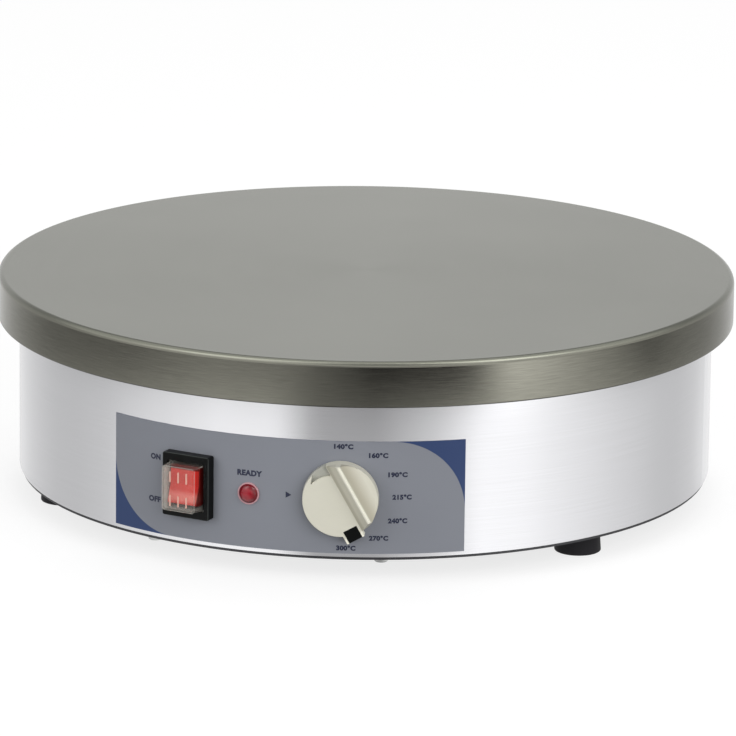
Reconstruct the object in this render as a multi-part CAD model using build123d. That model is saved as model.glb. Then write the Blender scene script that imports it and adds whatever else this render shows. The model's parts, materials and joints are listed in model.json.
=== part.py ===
"""Electric crepe maker: a round cast cooking plate on a stainless steel body with its controls on the front.

Millimetres, +Z up. The origin is on the plate's vertical axis at the surface that the feet stand on, and
the controls face -Y. Azimuths are degrees counter-clockwise from +X, seen from above.
"""

from build123d import *
from math import cos, degrees, radians, sin, sqrt
import os

# Cooking plate
plate_diameter = 400.0
plate_thickness = 15.7
rim_height = 24.4
skirt_wall = 8.6
plate_edge_round = 3.2
rim_foot_round = 1.0
casting_round = 4.0

# Heights, from the floor up
foot_height = 12.1
base_sheet = 1.2
shell_height = 86.7
insulating_washer_height = 1.5
boss_drop = 4.5

# Body shell and base plate
skirt_clearance = 3.0
shell_wall = 1.0
shell_bend_radius = 1.6
top_flange_width = 12.0
bottom_flange_width = 11.0
base_edge_inset = 1.2
base_screw_inset = 6.4
base_turn = -3.2
base_screw_azimuths = [-110, -70, 10, 50, 130, 170]
vent_count = 24
vent_length = 22.0
vent_width = 4.0
vent_ring_radius = 68.0

# Feet
foot_radius = 12.5
foot_top_radius = 11.6
foot_edge_round = 1.0
foot_inset = 20.2
foot_azimuths = {"front_right": -30, "front_left": -150, "rear": 90}
foot_web = 6.0

# Screw sizes: shank radius, head radius, head height, nut width across flats, nut height
m3, m4, m5, m6 = 1.5, 2.0, 2.5, 3.0
head_radius = {m3: 2.8, m4: 3.6, m5: 4.7}
head_height = {m3: 1.6, m4: 2.2, m5: 2.8}
nut_width = {m4: 7.0, m5: 8.0, m6: 10.0}
nut_height = {m4: 3.2, m5: 4.0, m6: 5.0}
washer_radius = {m5: 5.0, m6: 5.5}
washer_height = {m5: 1.0, m6: 1.6}
hole_clearance = 0.3
thread_clearance = 0.05
running_clearance = 0.05
fit_clearance = 0.2
thread_end = 1.0

# A pan head's form: shares of its height and of its radius
head_round_share = 0.45
recess_floor_share = 0.4
recess_width_share = 0.3
recess_length_share = 1.2

# The most of a wire's or tube's straight run that one bend may take
bend_room_share = 0.45

# How far a cut runs past a thin wall, and a boss into the solid that it joins
cut_reach = 4.0
join_depth = 1.0

# Plate fixings and elements
plate_stud_azimuths = [30, 150, 270]
plate_stud_depth = 9.0
boss_radius = 8.0
flat_outwards = 30.0
element_radius = 4.25
element_inset = 41.4
element_ring_pitch = 58.0
element_gap_azimuth = 90.0
element_half_gap = 31.0
element_bend_radius = 12.0
element_leg_length = 8.0
sheath_wall = 0.6
terminal_pin_radius = 1.6
terminal_pin_length = 12.0
end_seal_length = 4.0
seat_gap = 0.1
clamp_azimuths = {"right": 30, "left": 150, "front": 270}
clamp_width = 20.0
clamp_sheet = 3.0
clamp_corner_radius = 3.0
clamp_overhang_length = 9.0

# Heat shield and insulation
shield_sheet = 0.8
shield_side_gap = 5.4
thermostat_headroom = 2.0
insulation_headroom = 2.9
leg_hole_clearance = 1.75

# Controls: azimuth on the shell and height above the floor
overlay_sheet = 0.3
overlay_half_angle = 30.05
overlay_bottom = 15.8
overlay_height = 60.5
control_height = 46.0
switch_azimuth = -104.9
lamp_azimuth = -94.7
lamp_drop = 0.8
knob_azimuth = -79.8
thermostat_screw_pitch = 28.0

# Rocker switch
bezel_width = 27.8
bezel_length = 34.3
bezel_stand = 5.8
bezel_wall = 2.0
bezel_corner_radius = 1.2
bezel_edge_round = 0.5
window_width = 22.0
window_length = 26.2
window_corner_radius = 1.0
housing_width = 21.6
housing_length = 29.6
housing_depth = 26.0
housing_corner_radius = 1.0
housing_flange = 2.5
cover_flange = 1.0
cover_stand = 7.5
cover_wall = 0.8
cover_corner_radius = 1.5
cover_front_width = 19.5
cover_front_length = 24.0
cover_taper = 0.8
cover_rib_width = 0.9
cover_rib_height = 0.5
cover_rib_length = 5.9
cover_rib_inset = 2.6
cover_rib_corner_radius = 0.4
cover_rib_spots = [-4.6, 0.3, 5.2]
rocker_width = 17.4
rocker_length = 20.6
rocker_end_height = 6.7
rocker_middle_height = 5.2
rocker_side_height = 1.0
rocker_foot_width = 8.0
rocker_foot_depth = 5.0
rocker_edge_round = 0.6
rocker_tilt = 10.0
rocker_pivot_radius = 1.5
rocker_pivot_length = 1.4
rocker_pivot_cover = 0.5
rocker_clearance = 0.45
pocket_end_gap = 1.7
pocket_depth = 8.0
pocket_corner_radius = 0.5
blade_width = 6.3
blade_sheet = 0.8
blade_length = 8.0
switch_blade_spots = [(-5.0, -9.0), (5.0, -9.0), (-5.0, 9.0), (5.0, 9.0)]
thermostat_blade_spots = [(-10.0, -10.0), (-10.0, 10.0), (0.0, -10.0), (0.0, 10.0)]
limiter_blade_spots = [-9.0, 9.0]
limiter_blade_level = 13.0

# Pilot lamp
lamp_bezel_radius = 5.85
lamp_bezel_height = 0.9
lamp_dome_radius = 5.2
lamp_dome_height = 3.2
lamp_stem_length = 5.0
lamp_tube_radius = 4.9
lamp_tube_wall = 0.8
lamp_tube_depth = 22.0
lamp_tube_floor = 2.0
lamp_bulb_radius = 2.8
lamp_bulb_length = 13.0
lamp_bulb_round = 2.4
lamp_nut_radius = 8.0
lamp_nut_height = 2.0
lamp_wire_pitch = 5.0

# Thermostat and knob
knob_radius = 20.0
knob_draft = 0.3
knob_face_height = 6.3
knob_crest_height = 12.8
knob_gap = 0.5
knob_wall = 1.6
knob_hollow_top = 2.8
knob_hub_radius = 5.6
knob_edge_round = 0.5
knob_turn = 29.4
grip_foot = 2.2
grip_shoulder = 5.4
grip_crest_start = 8.0
grip_crest_end = 9.6
grip_crest_round = 0.3
grip_end_slope = 3.4
scoop_run_share = 0.36
scoop_rise_share = 0.3
notch_floor = 3.6
notch_beside_grip = 13.9
notch_middle = (-3.6, 15.4)
notch_corner = (-9.4, 14.6)
notch_mouth = (-6.8, 18.3)
pointer_reach = 22.6
pointer_start = 10.0
pointer_left = 8.0
pointer_corner_radius = 0.3
pointer_border = 1.2
inlay_length = 6.9
inlay_depth = 1.0
spindle_radius = 3.0
spindle_flat = 0.8
spindle_end_cover = 1.2
spindle_in_body = 14.0
bush_radius = 4.9
bracket_sheet = 1.5
bracket_corner_radius = 3.0
thermostat_width = 36.0
thermostat_depth = 26.0
thermostat_inset = 1.0
thermostat_corner_radius = 2.0
thermostat_edge_round = 1.2
thermostat_hole_depth = 6.0

# Sensor bulbs and capillaries
sensor_azimuths = {"thermostat": -30.0, "limiter": 210.0}
bulb_radius = 3.0
bulb_length = 80.0
bulb_end_round = 1.8
capillary_radius = 1.0
capillary_bend_radius = 6.3
capillary_lead_length = 14.0
capillary_level = 56.0
clip_sheet = 0.8
clip_width = 12.0
clip_foot_width = 12.0
clip_screw_grip = 6.0

# Safety limiter
limiter_azimuth = 150.0
limiter_inset = 67.4
limiter_width = 34.0
limiter_height = 28.0
limiter_corner_radius = 2.0
limiter_bush_radius = 5.0
limiter_bush_drop = 5.0
limiter_nut_width = 14.0
limiter_nut_height = 3.0
button_radius = 2.2
button_travel = 2.0
button_pressed_reach = 0.6
button_inside = 10.0
button_edge_round = 0.6
button_collar_radius = 3.4
button_collar_height = 1.5
spring_length = 8.0
spring_coils = 5
spring_wire_radius = 0.35

# Terminal block, earth stud and cord gland
block_inset = 69.4
block_poles = 4
block_pitch = 12.0
block_width = 22.0
block_height = 17.0
block_corner_radius = 1.0
tunnel_radius = 4.3
tunnel_level = 8.5
sleeve_wall = 1.4
sleeve_inset = 1.0
screw_well_clearance = 0.8
terminal_screw_start = 1.7
terminal_screw_sink = 1.7
screw_slot_width = 0.6
screw_slot_depth = 0.8
earth_azimuth = 68.0
earth_inset = 37.4
earth_stud_length = 18.0
gland_azimuth = 90.0
gland_height = 38.0
gland_thread_radius = 8.0
gland_thread_length = 4.9
gland_hex_width = 20.0
gland_hex_height = 4.2
gland_nut_length = 9.8
gland_dome_round = 3.0
gland_bore_radius = 5.2
cord_radius = 4.75
gland_inside = 9.0
gland_locknut_height = 4.0
gland_seal_length = 7.0
gland_seal_radius = 6.8

# Wiring: how far a wire runs straight from its terminal before it turns
wire_radius = 1.3
wire_bend_radius = 4.0
wire_lead_length = 12.0
link_lead_length = 24.0
element_lead_length = 30.0

# Levels worked out from the sizes above
base_top = foot_height + base_sheet
shell_top = base_top + shell_height
boss_bottom = shell_top + insulating_washer_height
plate_underside = boss_bottom + boss_drop
plate_top = plate_underside + plate_thickness
rim_bottom = plate_top - rim_height
element_level = plate_underside - element_radius - seat_gap
clamp_top = element_level - element_radius - seat_gap
clamp_bottom = clamp_top - clamp_sheet
clamp_stud_end = clamp_bottom - washer_height[m6] - nut_height[m6] - thread_end
shield_top = shell_top - shell_wall
shield_floor = control_height + thermostat_width / 2 + thermostat_headroom
leg_bottom = shield_floor - element_leg_length
bulb_level = plate_underside - bulb_radius - seat_gap
collar_bottom = base_top + button_inside + fit_clearance / 2
collar_top = collar_bottom + button_collar_height
spring_top = collar_top + spring_length

lamp_height = control_height - lamp_drop

# Radii about the plate's axis
plate_radius = plate_diameter / 2
skirt_inner = plate_radius - skirt_wall
shell_radius = skirt_inner - skirt_clearance
shell_inner = shell_radius - shell_wall
base_radius = shell_radius - base_edge_inset
base_screw_radius = shell_radius - base_screw_inset
foot_ring_radius = base_radius - foot_inset
plate_stud_radius = shell_inner - washer_radius[m6] - fit_clearance
shield_radius = plate_stud_radius - washer_radius[m6] - shield_side_gap
outer_ring_radius = skirt_inner - element_inset
element_rings = {"outer": outer_ring_radius, "inner": outer_ring_radius - element_ring_pitch}
clamp_stud_radius = (element_rings["outer"] + element_rings["inner"]) / 2
bulb_ring_radius = clamp_stud_radius
limiter_ring_radius = shell_inner - limiter_inset
block_ring_radius = shell_inner - block_inset
earth_ring_radius = shell_inner - earth_inset


def setback(half_width):
    """How far inside the shell's inner face a flat piece lies clear of the curved wall."""
    return shell_inner - sqrt(shell_inner**2 - half_width**2) + running_clearance


# Places along an outward axis, from the shell's outside
flange_top = overlay_sheet + housing_flange
cover_seat = flange_top + cover_flange
cover_front = bezel_stand + cover_stand
rocker_pivot_level = flange_top - rocker_pivot_radius - rocker_pivot_cover
knob_back = overlay_sheet + knob_gap
knob_face_radius = knob_radius - knob_draft
spindle_end = knob_face_height - spindle_end_cover
bracket_front = -shell_wall - setback(thermostat_width / 2)
body_front = bracket_front - bracket_sheet
body_back = body_front - thermostat_depth

# The pointer tab, across the knob
pointer_width = grip_foot + pointer_left
pointer_middle = (grip_foot - pointer_left) / 2


def polar(radius, azimuth, height=0.0):
    """The point at a radius and azimuth about the plate's axis."""
    return Vector(radius * cos(radians(azimuth)), radius * sin(radians(azimuth)), height)


def facing_out(azimuth, height):
    """A place on the shell: local +X is to the right and +Y up, seen from outside, and +Z points outwards."""
    origin = polar(shell_radius, azimuth, height)
    return Plane(origin, x_dir=polar(1, azimuth + 90), z_dir=polar(1, azimuth)).location


def standing(radius, azimuth, height=0.0):
    """A place on the floor plan with local +X pointing outwards."""
    return Pos(polar(radius, azimuth, height)) * Rot(0, 0, azimuth)


def disc(radius, bottom, top):
    return Pos(0, 0, bottom) * Cylinder(radius, top - bottom, align=(Align.CENTER, Align.CENTER, Align.MIN))


def ring(outer, inner, bottom, top):
    return disc(outer, bottom, top) - disc(inner, bottom, top)


def block(width, length, bottom, top, rounding=0.0):
    """A box about the local Z axis, with its upright edges rounded."""
    outline = RectangleRounded(width, length, rounding) if rounding else Rectangle(width, length)
    return Pos(0, 0, bottom) * extrude(outline, top - bottom)


def hexagon(width, bottom, top):
    return Pos(0, 0, bottom) * extrude(RegularPolygon(width / 2, 6, major_radius=False), top - bottom)


def nut(shank, bottom):
    top = bottom + nut_height[shank]
    return hexagon(nut_width[shank], bottom, top) - disc(shank + thread_clearance, bottom, top)


def washer(shank, bottom):
    return ring(washer_radius[shank], shank + hole_clearance, bottom, bottom + washer_height[shank])


def pan_screw(shank, length):
    """A cross-recess pan head screw: the head stands on z = 0 and the shank goes down."""
    height, radius = head_height[shank], head_radius[shank]
    head = disc(radius, 0, height)
    head = fillet(head.edges().sort_by(Axis.Z)[-1], height * head_round_share)
    slot = radius * recess_width_share, radius * recess_length_share
    recess = block(*slot, height * recess_floor_share, height)
    return head + disc(shank, -length, 0) - recess - Rot(0, 0, 90) * recess


def group(shapes):
    """Separate solids that share one node."""
    return Compound(children=list(shapes))


# ---- Cooking plate and what holds it -------------------------------------------------------------


def cooking_plate():
    plate = disc(plate_radius, rim_bottom, plate_top)
    plate = fillet(plate.edges().sort_by(Axis.Z)[-1], plate_edge_round)
    plate = fillet(plate.edges().sort_by(Axis.Z)[0], rim_foot_round)
    hollow = disc(skirt_inner, rim_bottom, plate_underside)
    hollow = fillet(hollow.edges().sort_by(Axis.Z)[-1], casting_round)
    plate -= hollow
    boss = disc(boss_radius, boss_bottom, plate_underside + join_depth)
    plate += [Pos(polar(plate_stud_radius, azimuth)) * boss for azimuth in plate_stud_azimuths]
    for azimuth in plate_stud_azimuths:
        plate -= Pos(polar(plate_stud_radius, azimuth)) * disc(
            m6 + thread_clearance, boss_bottom, boss_bottom + plate_stud_depth + thread_end
        )
    for azimuth in clamp_azimuths.values():
        plate -= Pos(polar(clamp_stud_radius, azimuth)) * disc(
            m6 + thread_clearance, plate_underside, plate_underside + plate_stud_depth + thread_end
        )
    for azimuth in sensor_azimuths.values():
        plate -= clip_screw_place(azimuth) * disc(
            m4 + thread_clearance, plate_underside, plate_underside + clip_screw_grip + thread_end
        )
    return plate


def m6_studs():
    """Studs screwed into the plate: one set holds it to the shell, the other holds the clamp bars."""
    plate_end = shield_top - shield_sheet - washer_height[m6] - nut_height[m6] - thread_end
    plate_stud = disc(m6, plate_end, boss_bottom + plate_stud_depth)
    clamp_stud = disc(m6, clamp_stud_end, plate_underside + plate_stud_depth)
    return group(
        [Pos(polar(plate_stud_radius, azimuth)) * plate_stud for azimuth in plate_stud_azimuths]
        + [Pos(polar(clamp_stud_radius, azimuth)) * clamp_stud for azimuth in clamp_azimuths.values()]
    )


def insulating_washers():
    spacer = ring(boss_radius, m6 + hole_clearance, shell_top, boss_bottom)
    return group(Pos(polar(plate_stud_radius, azimuth)) * spacer for azimuth in plate_stud_azimuths)


def m6_places():
    """Each M6 stud with the level that its washer and nut are tightened against."""
    flange = shield_top - shield_sheet
    plate = [(standing(plate_stud_radius, azimuth), flange) for azimuth in plate_stud_azimuths]
    clamp = [(standing(clamp_stud_radius, azimuth), clamp_bottom) for azimuth in clamp_azimuths.values()]
    return plate + clamp


def m6_washers():
    return group(place * washer(m6, seat - washer_height[m6]) for place, seat in m6_places())


def m6_nuts():
    drop = washer_height[m6] + nut_height[m6]
    return group(place * Rot(0, 0, flat_outwards) * nut(m6, seat - drop) for place, seat in m6_places())


# ---- Body shell, panel overlay, base plate and feet ----------------------------------------------


def body_shell():
    shell = disc(shell_radius, base_top, shell_top)
    shell = fillet(shell.edges().filter_by(GeomType.CIRCLE), shell_bend_radius)
    hollow = disc(shell_inner, base_top + shell_wall, shell_top - shell_wall)
    shell -= fillet(hollow.edges().filter_by(GeomType.CIRCLE), shell_bend_radius - shell_wall)
    shell -= disc(shell_radius - top_flange_width, shell_top - shell_wall, shell_top)
    shell -= disc(shell_radius - bottom_flange_width, base_top, base_top + shell_wall)
    stud_hole = disc(m6 + hole_clearance, shell_top - shell_wall, shell_top)
    shell -= [Pos(polar(plate_stud_radius, azimuth)) * stud_hole for azimuth in plate_stud_azimuths]
    for place in base_screw_places():
        shell -= place * disc(m4 + hole_clearance, base_top, base_top + shell_wall)
    shell -= control_openings()
    return shell - at_gland(disc(gland_thread_radius + hole_clearance, -cut_reach, cut_reach))


def control_openings():
    """What the shell and the overlay leave open for the switch, the lamp and the thermostat."""
    switch = block(
        housing_width + 2 * fit_clearance,
        housing_length + 2 * fit_clearance,
        -cut_reach,
        cut_reach,
        housing_corner_radius,
    )
    lamp = disc(lamp_tube_radius + fit_clearance, -cut_reach, cut_reach)
    bush = disc(bush_radius + fit_clearance, -cut_reach, cut_reach)
    for place in thermostat_screw_places():
        bush += place * disc(m4 + hole_clearance, -cut_reach, cut_reach)
    return [at_switch(switch), at_lamp(lamp), at_knob(bush)]


def control_panel_overlay():
    sheet = ring(shell_radius + overlay_sheet, shell_radius, overlay_bottom, overlay_bottom + overlay_height)
    corner = 2 * shell_radius
    wedge = Polygon(
        (0, 0),
        (-corner * sin(radians(overlay_half_angle)), -corner * cos(radians(overlay_half_angle))),
        (0, -corner),
        (corner * sin(radians(overlay_half_angle)), -corner * cos(radians(overlay_half_angle))),
        align=None,
    )
    sheet = sheet & extrude(wedge, overlay_bottom + overlay_height)
    return sheet - control_openings()


def base_screw_places():
    return [Pos(polar(base_screw_radius, azimuth + base_turn)) for azimuth in base_screw_azimuths]


def foot_place(azimuth):
    return Pos(polar(foot_ring_radius, azimuth + base_turn))


def base_plate():
    plate = disc(base_radius, foot_height, base_top)
    for place in base_screw_places():
        plate -= place * disc(m4 + hole_clearance, foot_height, base_top)
    for azimuth in foot_azimuths.values():
        plate -= foot_place(azimuth) * disc(m5 + hole_clearance, foot_height, base_top)
    vent = Pos(vent_ring_radius, 0, foot_height) * extrude(SlotOverall(vent_length, vent_width), base_sheet)
    plate -= [Rot(0, 0, azimuth) * vent for azimuth in range(0, 360, 360 // vent_count)]
    plate -= limiter_place() * disc(limiter_bush_radius + hole_clearance, foot_height, base_top)
    plate -= earth_place() * disc(m5 + thread_clearance, foot_height, base_top)
    for place in block_screw_places():
        plate -= place * disc(m3 + thread_clearance, foot_height, base_top)
    return plate


def base_screws():
    length = base_sheet + shell_wall + nut_height[m4] + thread_end
    screw = Pos(0, 0, foot_height) * Rot(180, 0, 0) * pan_screw(m4, length)
    return group(place * screw for place in base_screw_places())


def clinch_nuts():
    """Round nuts pressed on the shell's bottom flange, over the base screws."""
    bottom = base_top + shell_wall
    clinch = ring(nut_width[m4] / 2, m4 + thread_clearance, bottom, bottom + nut_height[m4])
    return group(place * clinch for place in base_screw_places())


def rubber_foot(azimuth):
    foot = Cone(foot_radius, foot_top_radius, foot_height, align=(Align.CENTER, Align.CENTER, Align.MIN))
    foot = fillet(foot.edges().sort_by(Axis.Z)[0], foot_edge_round)
    foot -= disc(washer_radius[m5] + 2 * hole_clearance, 0, foot_height - foot_web)
    return foot_place(azimuth) * (foot - disc(m5 + hole_clearance, 0, foot_height))


def m5_washers():
    bottom = foot_height - foot_web - washer_height[m5]
    under_feet = [foot_place(azimuth) * washer(m5, bottom) for azimuth in foot_azimuths.values()]
    return group(under_feet + [earth_place() * washer(m5, base_top + nut_height[m5])])


def foot_screws():
    seat = foot_height - foot_web - washer_height[m5]
    length = base_top - seat + nut_height[m5] + thread_end
    screw = Pos(0, 0, seat) * Rot(180, 0, 0) * pan_screw(m5, length)
    return group(foot_place(azimuth) * screw for azimuth in foot_azimuths.values())


def m5_nuts():
    on_feet = [foot_place(azimuth) * nut(m5, base_top) for azimuth in foot_azimuths.values()]
    earth_levels = (base_top, base_top + nut_height[m5] + washer_height[m5])
    return group(on_feet + [earth_place() * nut(m5, level) for level in earth_levels])


# ---- Heating elements, clamps, heat shield and insulation ----------------------------------------


def element_ends(ring_radius):
    """Azimuths at which a ring's two ends start to bend down, so that the legs of both rings stand alike."""
    half = degrees(element_half_gap / ring_radius)
    return element_gap_azimuth + half, element_gap_azimuth - half


def leg_points(ring_radius):
    """Where the two legs of an element stand."""
    first, last = element_ends(ring_radius)
    return [
        polar(ring_radius, first) - polar(element_bend_radius, first + 90),
        polar(ring_radius, last) + polar(element_bend_radius, last + 90),
    ]


def heating_element(ring_radius):
    """A tube bent to an open ring under the plate, with both ends turned down."""
    first, last = element_ends(ring_radius)
    first_leg, last_leg = leg_points(ring_radius)
    bend_start = element_level - element_bend_radius
    half = element_bend_radius * sin(radians(45))

    def arc_middle(azimuth, side):
        """The bend's middle point: half of the way along and down from the ring's end."""
        along = polar(side * half, azimuth + 90)
        return polar(ring_radius, azimuth, bend_start + half) + along

    first_end = polar(ring_radius, first, element_level)
    last_end = polar(ring_radius, last, element_level)
    path = Wire(
        [
            Line(first_leg + Vector(0, 0, leg_bottom), first_leg + Vector(0, 0, bend_start)),
            ThreePointArc(first_leg + Vector(0, 0, bend_start), arc_middle(first, -1), first_end),
            ThreePointArc(first_end, polar(-ring_radius, element_gap_azimuth, element_level), last_end),
            ThreePointArc(last_end, arc_middle(last, 1), last_leg + Vector(0, 0, bend_start)),
            Line(last_leg + Vector(0, 0, bend_start), last_leg + Vector(0, 0, leg_bottom)),
        ]
    )
    return sweep(Plane(first_leg + Vector(0, 0, leg_bottom), z_dir=(0, 0, 1)) * Circle(element_radius), path)


def all_legs():
    return [point for radius in element_rings.values() for point in leg_points(radius)]


def element_end_seals():
    seal = ring(element_radius - sheath_wall, terminal_pin_radius, leg_bottom - end_seal_length, leg_bottom)
    return group(Pos(point) * seal for point in all_legs())


def element_pins():
    pin = disc(terminal_pin_radius, leg_bottom - terminal_pin_length, leg_bottom)
    return group(Pos(point) * pin for point in all_legs())


def clamp_bar(azimuth):
    length = element_rings["outer"] - element_rings["inner"] + 2 * clamp_overhang_length
    bar = standing(clamp_stud_radius, azimuth) * block(
        length, clamp_width, clamp_bottom, clamp_top, clamp_corner_radius
    )
    return bar - Pos(polar(clamp_stud_radius, azimuth)) * disc(m6 + hole_clearance, clamp_bottom, clamp_top)


def passages(extra, bottom, top):
    """Holes for the element legs and the two capillaries."""
    leg = disc(element_radius + extra, bottom, top)
    capillary = disc(capillary_radius + extra, bottom, top)
    return [Pos(point) * leg for point in all_legs()] + [
        Pos(capillary_drop(azimuth)) * capillary for azimuth in sensor_azimuths.values()
    ]


def heat_shield_pan():
    flange_radius = shell_radius - shell_bend_radius - fit_clearance
    pan = disc(flange_radius, shield_top - shield_sheet, shield_top)
    pan += disc(shield_radius, shield_floor, shield_top)
    pan -= disc(shield_radius - shield_sheet, shield_floor + shield_sheet, shield_top)
    for azimuth in plate_stud_azimuths:
        pan -= Pos(polar(plate_stud_radius, azimuth)) * disc(
            m6 + hole_clearance, shield_top - shield_sheet, shield_top
        )
    return pan - passages(leg_hole_clearance, shield_floor, shield_floor + shield_sheet)


def insulation_disc():
    bottom = shield_floor + shield_sheet
    top = clamp_stud_end - insulation_headroom
    return disc(shield_radius - shield_sheet - fit_clearance, bottom, top) - passages(
        leg_hole_clearance + fit_clearance, bottom, top
    )


# ---- Sensor bulbs and capillaries ----------------------------------------------------------------


def bulb_place(azimuth):
    """The middle of a bulb: local X runs along it."""
    return Pos(polar(bulb_ring_radius, azimuth, bulb_level)) * Rot(0, 0, azimuth + 90)


def bulb_end(azimuth):
    """The end of a bulb that its capillary leaves."""
    return polar(bulb_ring_radius, azimuth, bulb_level) - polar(bulb_length / 2, azimuth + 90)


def capillary_drop(azimuth):
    """Where a capillary turns down through the insulation and the heat shield."""
    point = bulb_end(azimuth) - polar(capillary_lead_length, azimuth + 90)
    return Vector(point.X, point.Y, 0)


def sensor_bulb(azimuth):
    bulb = Rot(0, 90, 0) * Cylinder(bulb_radius, bulb_length)
    bulb = fillet(bulb.edges().filter_by(GeomType.CIRCLE), bulb_end_round)
    return bulb_place(azimuth) * bulb


def clip_screw_place(azimuth):
    return Pos(polar(bulb_ring_radius - bulb_radius - clip_sheet - clip_foot_width / 2, azimuth))


def bulb_clips():
    """Sheet clips that hold the bulbs against the plate, each with one foot for its screw."""
    outer = bulb_radius + seat_gap + clip_sheet
    inner = bulb_radius + seat_gap
    loop = Circle(outer) + Pos(0, outer / 2) * Rectangle(2 * outer, outer)
    loop -= Circle(inner) + Pos(0, outer / 2) * Rectangle(2 * inner, outer)
    loop &= Pos(0, -outer + (outer + inner) / 2) * Rectangle(4 * outer, outer + inner)
    foot = Rectangle(clip_foot_width, clip_sheet)
    section = loop + Pos(outer + (clip_foot_width - clip_sheet) / 2, inner - clip_sheet / 2) * foot
    clips = []
    for azimuth in sensor_azimuths.values():
        strip = Rot(90, 0, 0) * Pos(0, 0, -clip_width / 2) * extrude(section, clip_width)
        clip = Pos(polar(bulb_ring_radius, azimuth, bulb_level)) * Rot(0, 0, azimuth + 180) * strip
        hole = disc(m4 + hole_clearance, bulb_level, plate_underside)
        clips.append(clip - clip_screw_place(azimuth) * hole)
    return group(clips)


def clip_screws():
    screw = Pos(0, 0, plate_underside - clip_sheet) * Rot(180, 0, 0) * pan_screw(m4, clip_screw_grip)
    return group(clip_screw_place(azimuth) * screw for azimuth in sensor_azimuths.values())


def round_wire(points, radius, bend):
    """A tube of straight runs joined by arcs, which a short run makes smaller."""
    shortest = min((after - here).length for here, after in zip(points, points[1:]))
    path = FilletPolyline(*points, radius=min(bend, shortest * bend_room_share))
    return sweep(Plane(path @ 0, z_dir=path % 0) * Circle(radius), path)


def thermostat_capillary():
    azimuth = sensor_azimuths["thermostat"]
    drop = capillary_drop(azimuth)
    entry = polar(shell_radius + body_back, knob_azimuth) + polar(thermostat_width / 4, knob_azimuth + 90)
    approach = entry - polar(capillary_lead_length, knob_azimuth)
    return round_wire(
        [
            bulb_end(azimuth),
            drop + Vector(0, 0, bulb_level),
            drop + Vector(0, 0, capillary_level),
            approach + Vector(0, 0, capillary_level),
            entry + Vector(0, 0, capillary_level),
        ],
        capillary_radius,
        capillary_bend_radius,
    )


def limiter_capillary():
    azimuth = sensor_azimuths["limiter"]
    drop = capillary_drop(azimuth)
    entry = polar(limiter_ring_radius, limiter_azimuth)
    return round_wire(
        [
            bulb_end(azimuth),
            drop + Vector(0, 0, bulb_level),
            drop + Vector(0, 0, capillary_level),
            entry + Vector(0, 0, capillary_level),
            entry + Vector(0, 0, base_top + limiter_height),
        ],
        capillary_radius,
        capillary_bend_radius,
    )


# ---- Thermostat and its knob ---------------------------------------------------------------------


def at_knob(shape):
    return facing_out(knob_azimuth, control_height) * shape


def thermostat_screw_places():
    return [Pos(0, side * thermostat_screw_pitch / 2, 0) for side in (-1, 1)]


def thermostat_bracket():
    """The flat plate that the thermostat hangs on, with its threaded bush for the spindle."""
    plate = block(thermostat_width, thermostat_width, body_front, bracket_front, bracket_corner_radius)
    plate += disc(bush_radius, bracket_front, overlay_sheet)
    plate -= disc(spindle_radius + running_clearance, body_front, overlay_sheet)
    hole = disc(m4 + thread_clearance, body_front, bracket_front)
    return at_knob(plate - [place * hole for place in thermostat_screw_places()])


def thermostat_body():
    width = thermostat_width - 2 * thermostat_inset
    body = block(width, width, body_back, body_front, thermostat_corner_radius)
    body = fillet(body.faces().sort_by(Axis.Z)[0].edges(), thermostat_edge_round)
    body -= disc(spindle_radius + running_clearance, body_front - spindle_in_body, body_front)
    hole = disc(m4 + hole_clearance, body_front - thermostat_hole_depth, body_front)
    return at_knob(body - [place * hole for place in thermostat_screw_places()])


def thermostat_screws():
    length = overlay_sheet - body_front + thread_end
    screw = Pos(0, 0, overlay_sheet) * pan_screw(m4, length)
    return group(at_knob(place * screw) for place in thermostat_screw_places())


def spindle_shape(gap, bottom, top):
    """The spindle's section with its flat, made larger all round by a gap."""
    flat = Pos(2 * spindle_radius - spindle_flat + gap, 0, 0) * block(
        2 * spindle_radius, 3 * spindle_radius, bottom, top
    )
    return disc(spindle_radius + gap, bottom, top) - flat


def thermostat_spindle():
    spindle = disc(spindle_radius, body_front - spindle_in_body + fit_clearance, knob_back)
    return at_knob(Rot(0, 0, knob_turn) * (spindle + spindle_shape(0, knob_back, spindle_end)))


def thermostat_knob():
    """A disc with a skirt, a ridge to grip at one side of its middle and a pointer tab beyond its edge."""
    on_base = (Align.CENTER, Align.CENTER, Align.MIN)
    knob = Cone(knob_radius, knob_face_radius, knob_face_height - knob_back, align=on_base)
    knob = Pos(0, 0, knob_back) * knob
    knob = fillet(knob.edges().sort_by(Axis.Z)[-1], knob_edge_round)
    knob += Pos(pointer_middle, -(pointer_start + pointer_reach) / 2, 0) * block(
        pointer_width, pointer_reach - pointer_start, knob_back, knob_face_height, pointer_corner_radius
    )
    knob += knob_ridge()
    knob -= knob_notch()
    knob -= disc(knob_radius - knob_wall, knob_back, knob_hollow_top)
    knob += disc(knob_hub_radius, knob_back, knob_hollow_top)
    knob -= spindle_shape(running_clearance, knob_back, spindle_end + fit_clearance)
    knob -= pointer_bar(0, pointer_reach + join_depth, knob_face_height)
    return at_knob(Rot(0, 0, knob_turn) * knob)


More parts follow.
